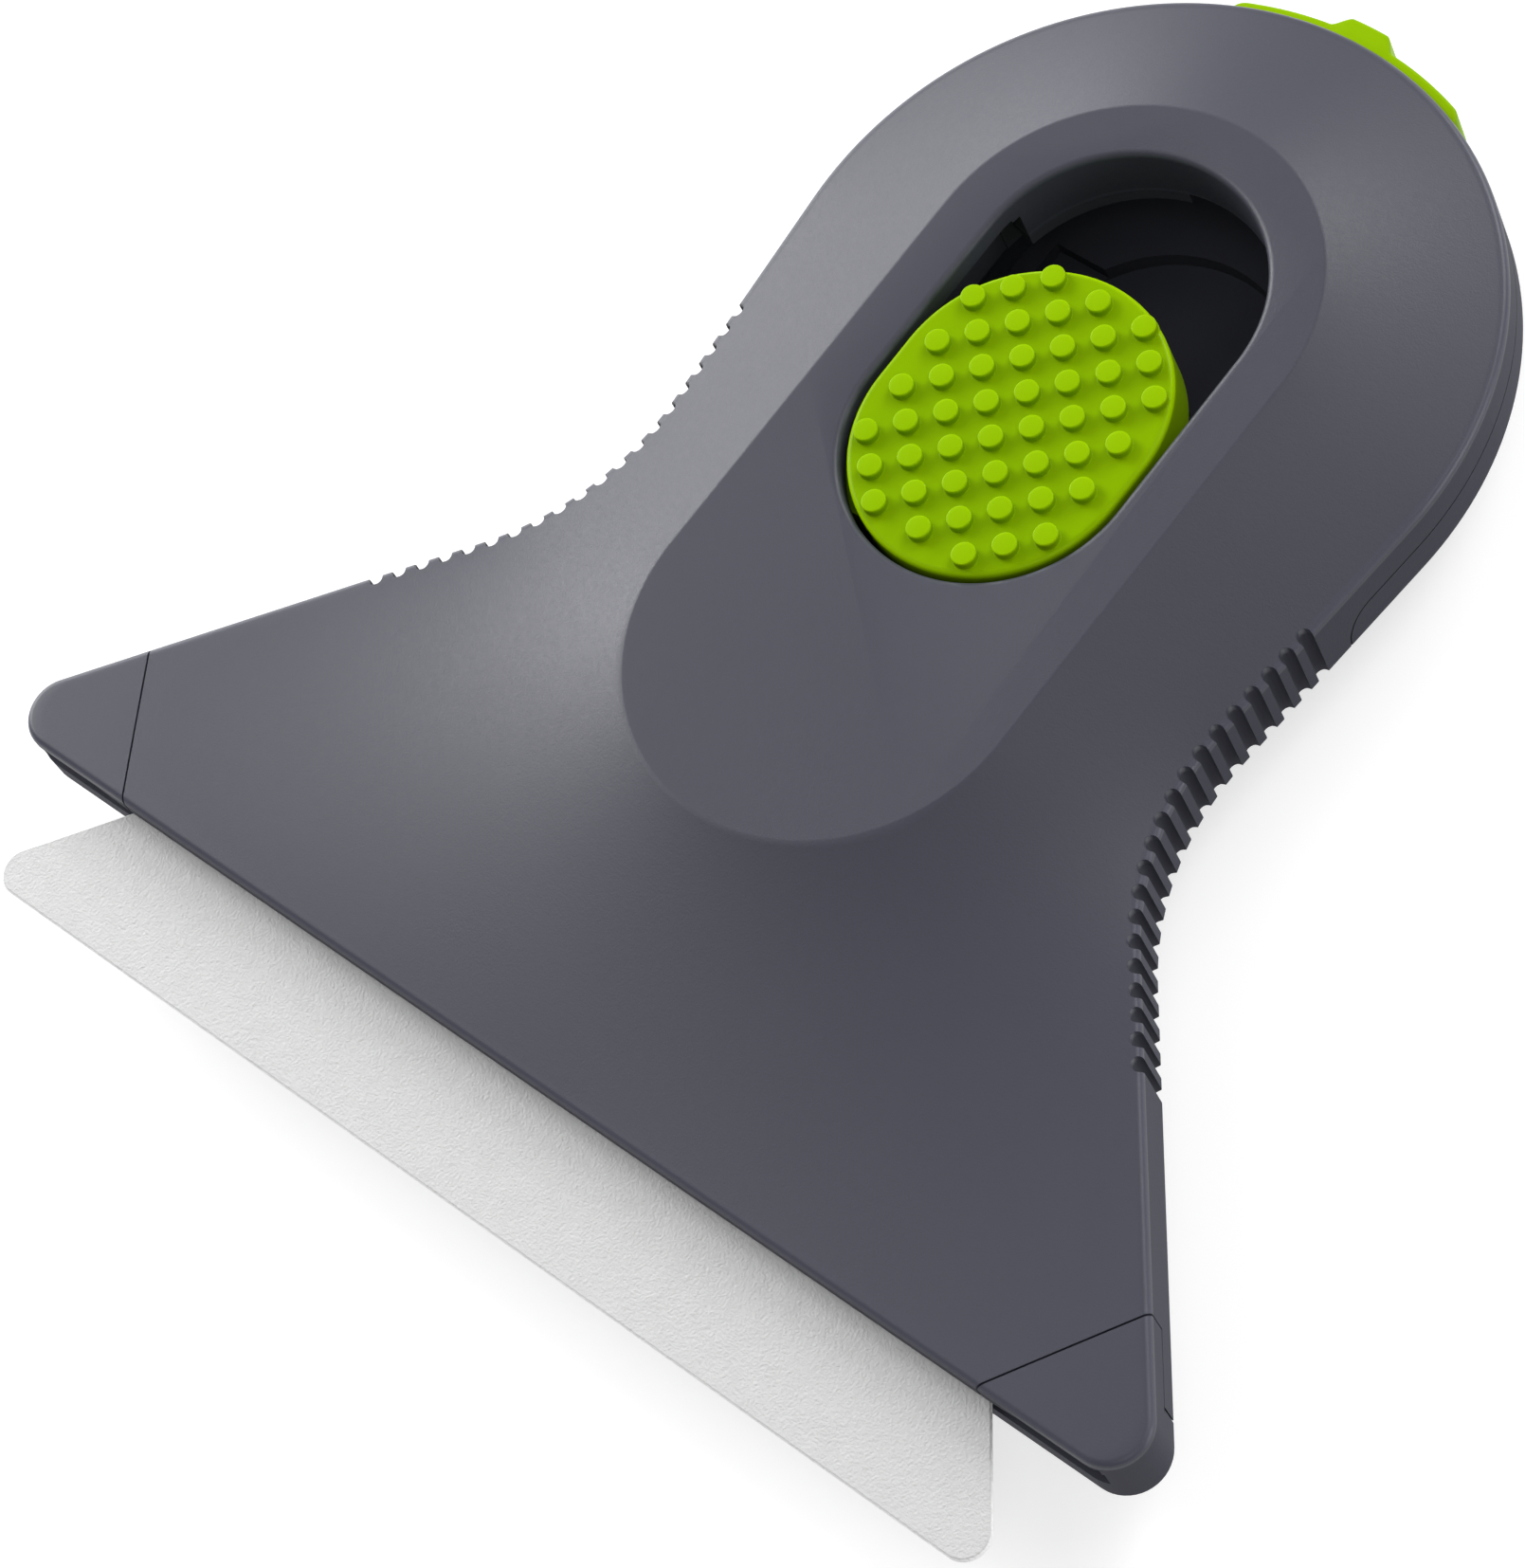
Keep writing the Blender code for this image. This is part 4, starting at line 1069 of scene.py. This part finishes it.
limeLook = {
    **commonLook,
    "dark": (0.28, 0.505, 0.0),
    "light": (0.297, 0.526, 0.0),
    "smooth": 0.3,
    "rough": 0.4,
    "specular": 0.04,
    "fine": 9000,
    "coarse": 3000,
    "patch": 120,
    "pitScale": 5000,
    "pitTone": 0.9,
    "rubbed": 0.12,
    "rubStops": ((0, 0), (9.6, 0), (9.7, 1), (9.97, 1), (10.02, 0), (10.4, 0), (10.42, 1),
                 (10.475, 1), (10.481, 0), (rampTop, 0)),
    # painted shade and highlights: the button's sides, the plane between the studs and the studs'
    # sides are darkened as shade, and the button's top edge and the studs' rims are lightened into
    # highlight lines
    "paintedLightStops": ((0, 0.82), (6.6, 0.82), (7.2, 0.62), (9.6, 0.66), (9.75, 0.9), (9.95, 1),
                  (9.99, 0.74), (10.04, 0.64), (10.3, 0.6), (10.41, 0.95), (10.425, 1),
                  (10.474, 1), (10.481, 0.84), (rampTop, 0.84)),
}
# painted shade: a near-black colour that stands for the deep shade inside the slot
paintedShadeLook = {
    **commonLook,
    "dark": (0.012, 0.012, 0.013),
    "light": (0.018, 0.018, 0.02),
    "smooth": 0.45,
    "rough": 0.6,
    "fine": 7000,
    "coarse": 2500,
    "patch": 80,
    "pitScale": 4000,
    "pitTone": 0.8,
}
ceramicLook = {
    **commonLook,
    "dark": (0.94, 0.94, 0.94),
    "light": (0.98, 0.98, 0.98),
    "smooth": 0.5,
    "rough": 0.65,
    "fine": 8000,
    "coarse": 5000,
    "patch": 900,
    "bump": 1.0,
    "bumpDepth": 0.08 * mm,
    "pitScale": 3400,
    "pitEdge": 0.3,
    "pitTone": 0.97,
    # painted highlight: below 5.26 mm the blade's sides and most of its top chamfer keep the full
    # light colour, while the flat top is darkened to 0.62, so the edges read as lit
    "paintedLightStops": ((0, 1), (5.26, 1), (5.29, 0.62), (rampTop, 0.62)),
}
greyPlastic = finish("greyHousingPlastic", housingLook)
limePlastic = finish("limePlastic", limeLook)
paintedShadePlastic = finish("paintedShadePlastic", paintedShadeLook)
whiteCeramic = finish("whiteCeramic", ceramicLook)


def dress(piece, surface, body, node):
    piece.data.materials.clear()
    piece.data.materials.append(surface)
    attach(piece, body)
    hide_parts(node)


dress(upperShell, greyPlastic, "housing", "upper_housing")
dress(lowerShell, greyPlastic, "housing", "lower_housing")
dress(thumbButton, limePlastic, "slider", "slider_button")
dress(bladePiece, whiteCeramic, "slider", "ceramic_blade")
dress(latchPiece, limePlastic, "latch", "rear_latch")
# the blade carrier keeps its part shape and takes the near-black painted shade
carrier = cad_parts["blade_carrier"]
carrier.data.materials.clear()
carrier.data.materials.append(paintedShadePlastic)

print("stage")
# floor, world, lamps and camera
studio = {
    "floorSize": 3.0,
    "floorGap": 0.02 * mm,
    "floorColour": 0.5,
    "floorGlow": 0.65,
    "floorRoughness": 0.9,
    "ambient": 0.3,
    "lampSize": 0.36,
    "lampDistance": 0.7,
    "lampAim": Vector((0, 0, 0.005)),
}


def whiteShare(nodes, links):
    # 1 for camera, mirror and clear rays, 0 for the light that falls on things
    path = nodes.new("ShaderNodeLightPath")
    total = path.outputs["Is Camera Ray"]
    for label in ("Is Glossy Ray", "Is Transmission Ray"):
        add = nodes.new("ShaderNodeMath")
        add.operation = "ADD"
        add.use_clamp = True
        links.new(total, add.inputs[0])
        links.new(path.outputs[label], add.inputs[1])
        total = add.outputs[0]
    return total


def buildFloor():
    half = studio["floorSize"] / 2
    corners = [(x * half, y * half, -studio["floorGap"])
               for x, y in ((-1, -1), (1, -1), (1, 1), (-1, 1))]
    floor = newObject("studioFloor", corners, [(0, 1, 2, 3)])
    item = bpy.data.materials.new("paleFloor")
    item.use_nodes = True
    nodes, links = item.node_tree.nodes, item.node_tree.links
    shader = nodes["Principled BSDF"]
    shader.inputs["Base Color"].default_value = (*[studio["floorColour"]] * 3, 1)
    shader.inputs["Roughness"].default_value = studio["floorRoughness"]
    shader.inputs["Specular IOR Level"].default_value = 0
    shader.inputs["Emission Color"].default_value = (1, 1, 1, 1)
    glow = mapped(nodes, links, whiteShare(nodes, links), (0, 1), (0, studio["floorGlow"]))
    links.new(glow, shader.inputs["Emission Strength"])
    floor.data.materials.append(item)


def buildWorld():
    world = bpy.data.worlds.new("studioWorld")
    scene.world = world
    world.use_nodes = True
    background = world.node_tree.nodes["Background"]
    background.inputs["Color"].default_value = (1, 1, 1, 1)
    background.inputs["Strength"].default_value = studio["ambient"]


lamps = [
    {"name": "rightLow", "azimuth": 30, "elevation": 8, "power": 1.65},
    {"name": "leftRearLow", "azimuth": 150, "elevation": 8, "power": 1.64},
    {"name": "leftLow", "azimuth": 180, "elevation": 8, "power": 1.25},
    {"name": "leftRear", "azimuth": 150, "elevation": 30, "power": 0.22},
    {"name": "rear", "azimuth": 90, "elevation": 30, "power": 2.25},
    {"name": "left", "azimuth": 180, "elevation": 30, "power": 3.45},
    {"name": "rearHigh", "azimuth": 60, "elevation": 55, "power": 0.80},
    {"name": "leftHigh", "azimuth": 210, "elevation": 55, "power": 0.32},
    {"name": "frontHigh", "azimuth": 330, "elevation": 55, "power": 0.52},
]


def buildLamps():
    # azimuth from +X towards +Y, seen from the middle of the housing
    for lamp in lamps:
        data = bpy.data.lights.new(lamp["name"], "AREA")
        data.shape = "SQUARE"
        data.size = studio["lampSize"]
        data.energy = lamp["power"]
        item = placed(lamp["name"], data)
        a, e = math.radians(lamp["azimuth"]), math.radians(lamp["elevation"])
        away = Vector((math.cos(a) * math.cos(e), math.sin(a) * math.cos(e), math.sin(e)))
        item.location = studio["lampAim"] + away * studio["lampDistance"]
        item.rotation_mode = "QUATERNION"
        item.rotation_quaternion = (-away).to_track_quat("-Z", "Y")


# long lens from the right front, tilted in the picture plane
view = {
    "place": Vector((0.12955, -0.06094, 0.22959)),
    "aim": Vector((-0.001086, -0.01152, 0.005)),
    "tilt": math.radians(-33.7305),
    "lens": 128.0,
    "nearest": 0.01,
    "farthest": 10,
}


def buildCamera():
    data = bpy.data.cameras.new("photoCamera")
    data.lens = view["lens"]
    data.clip_start = view["nearest"]
    data.clip_end = view["farthest"]
    item = placed("photoCamera", data)
    forward = (view["aim"] - view["place"]).normalized()
    right = forward.cross(Vector((0, 0, 1))).normalized()
    up = right.cross(forward)
    turned = Matrix((right, up, -forward)).transposed() @ Matrix.Rotation(view["tilt"], 3, "Z")
    item.matrix_world = Matrix.Translation(view["place"]) @ turned.to_4x4()
    scene.camera = item


buildFloor()
buildWorld()
buildLamps()
buildCamera()

print("done")
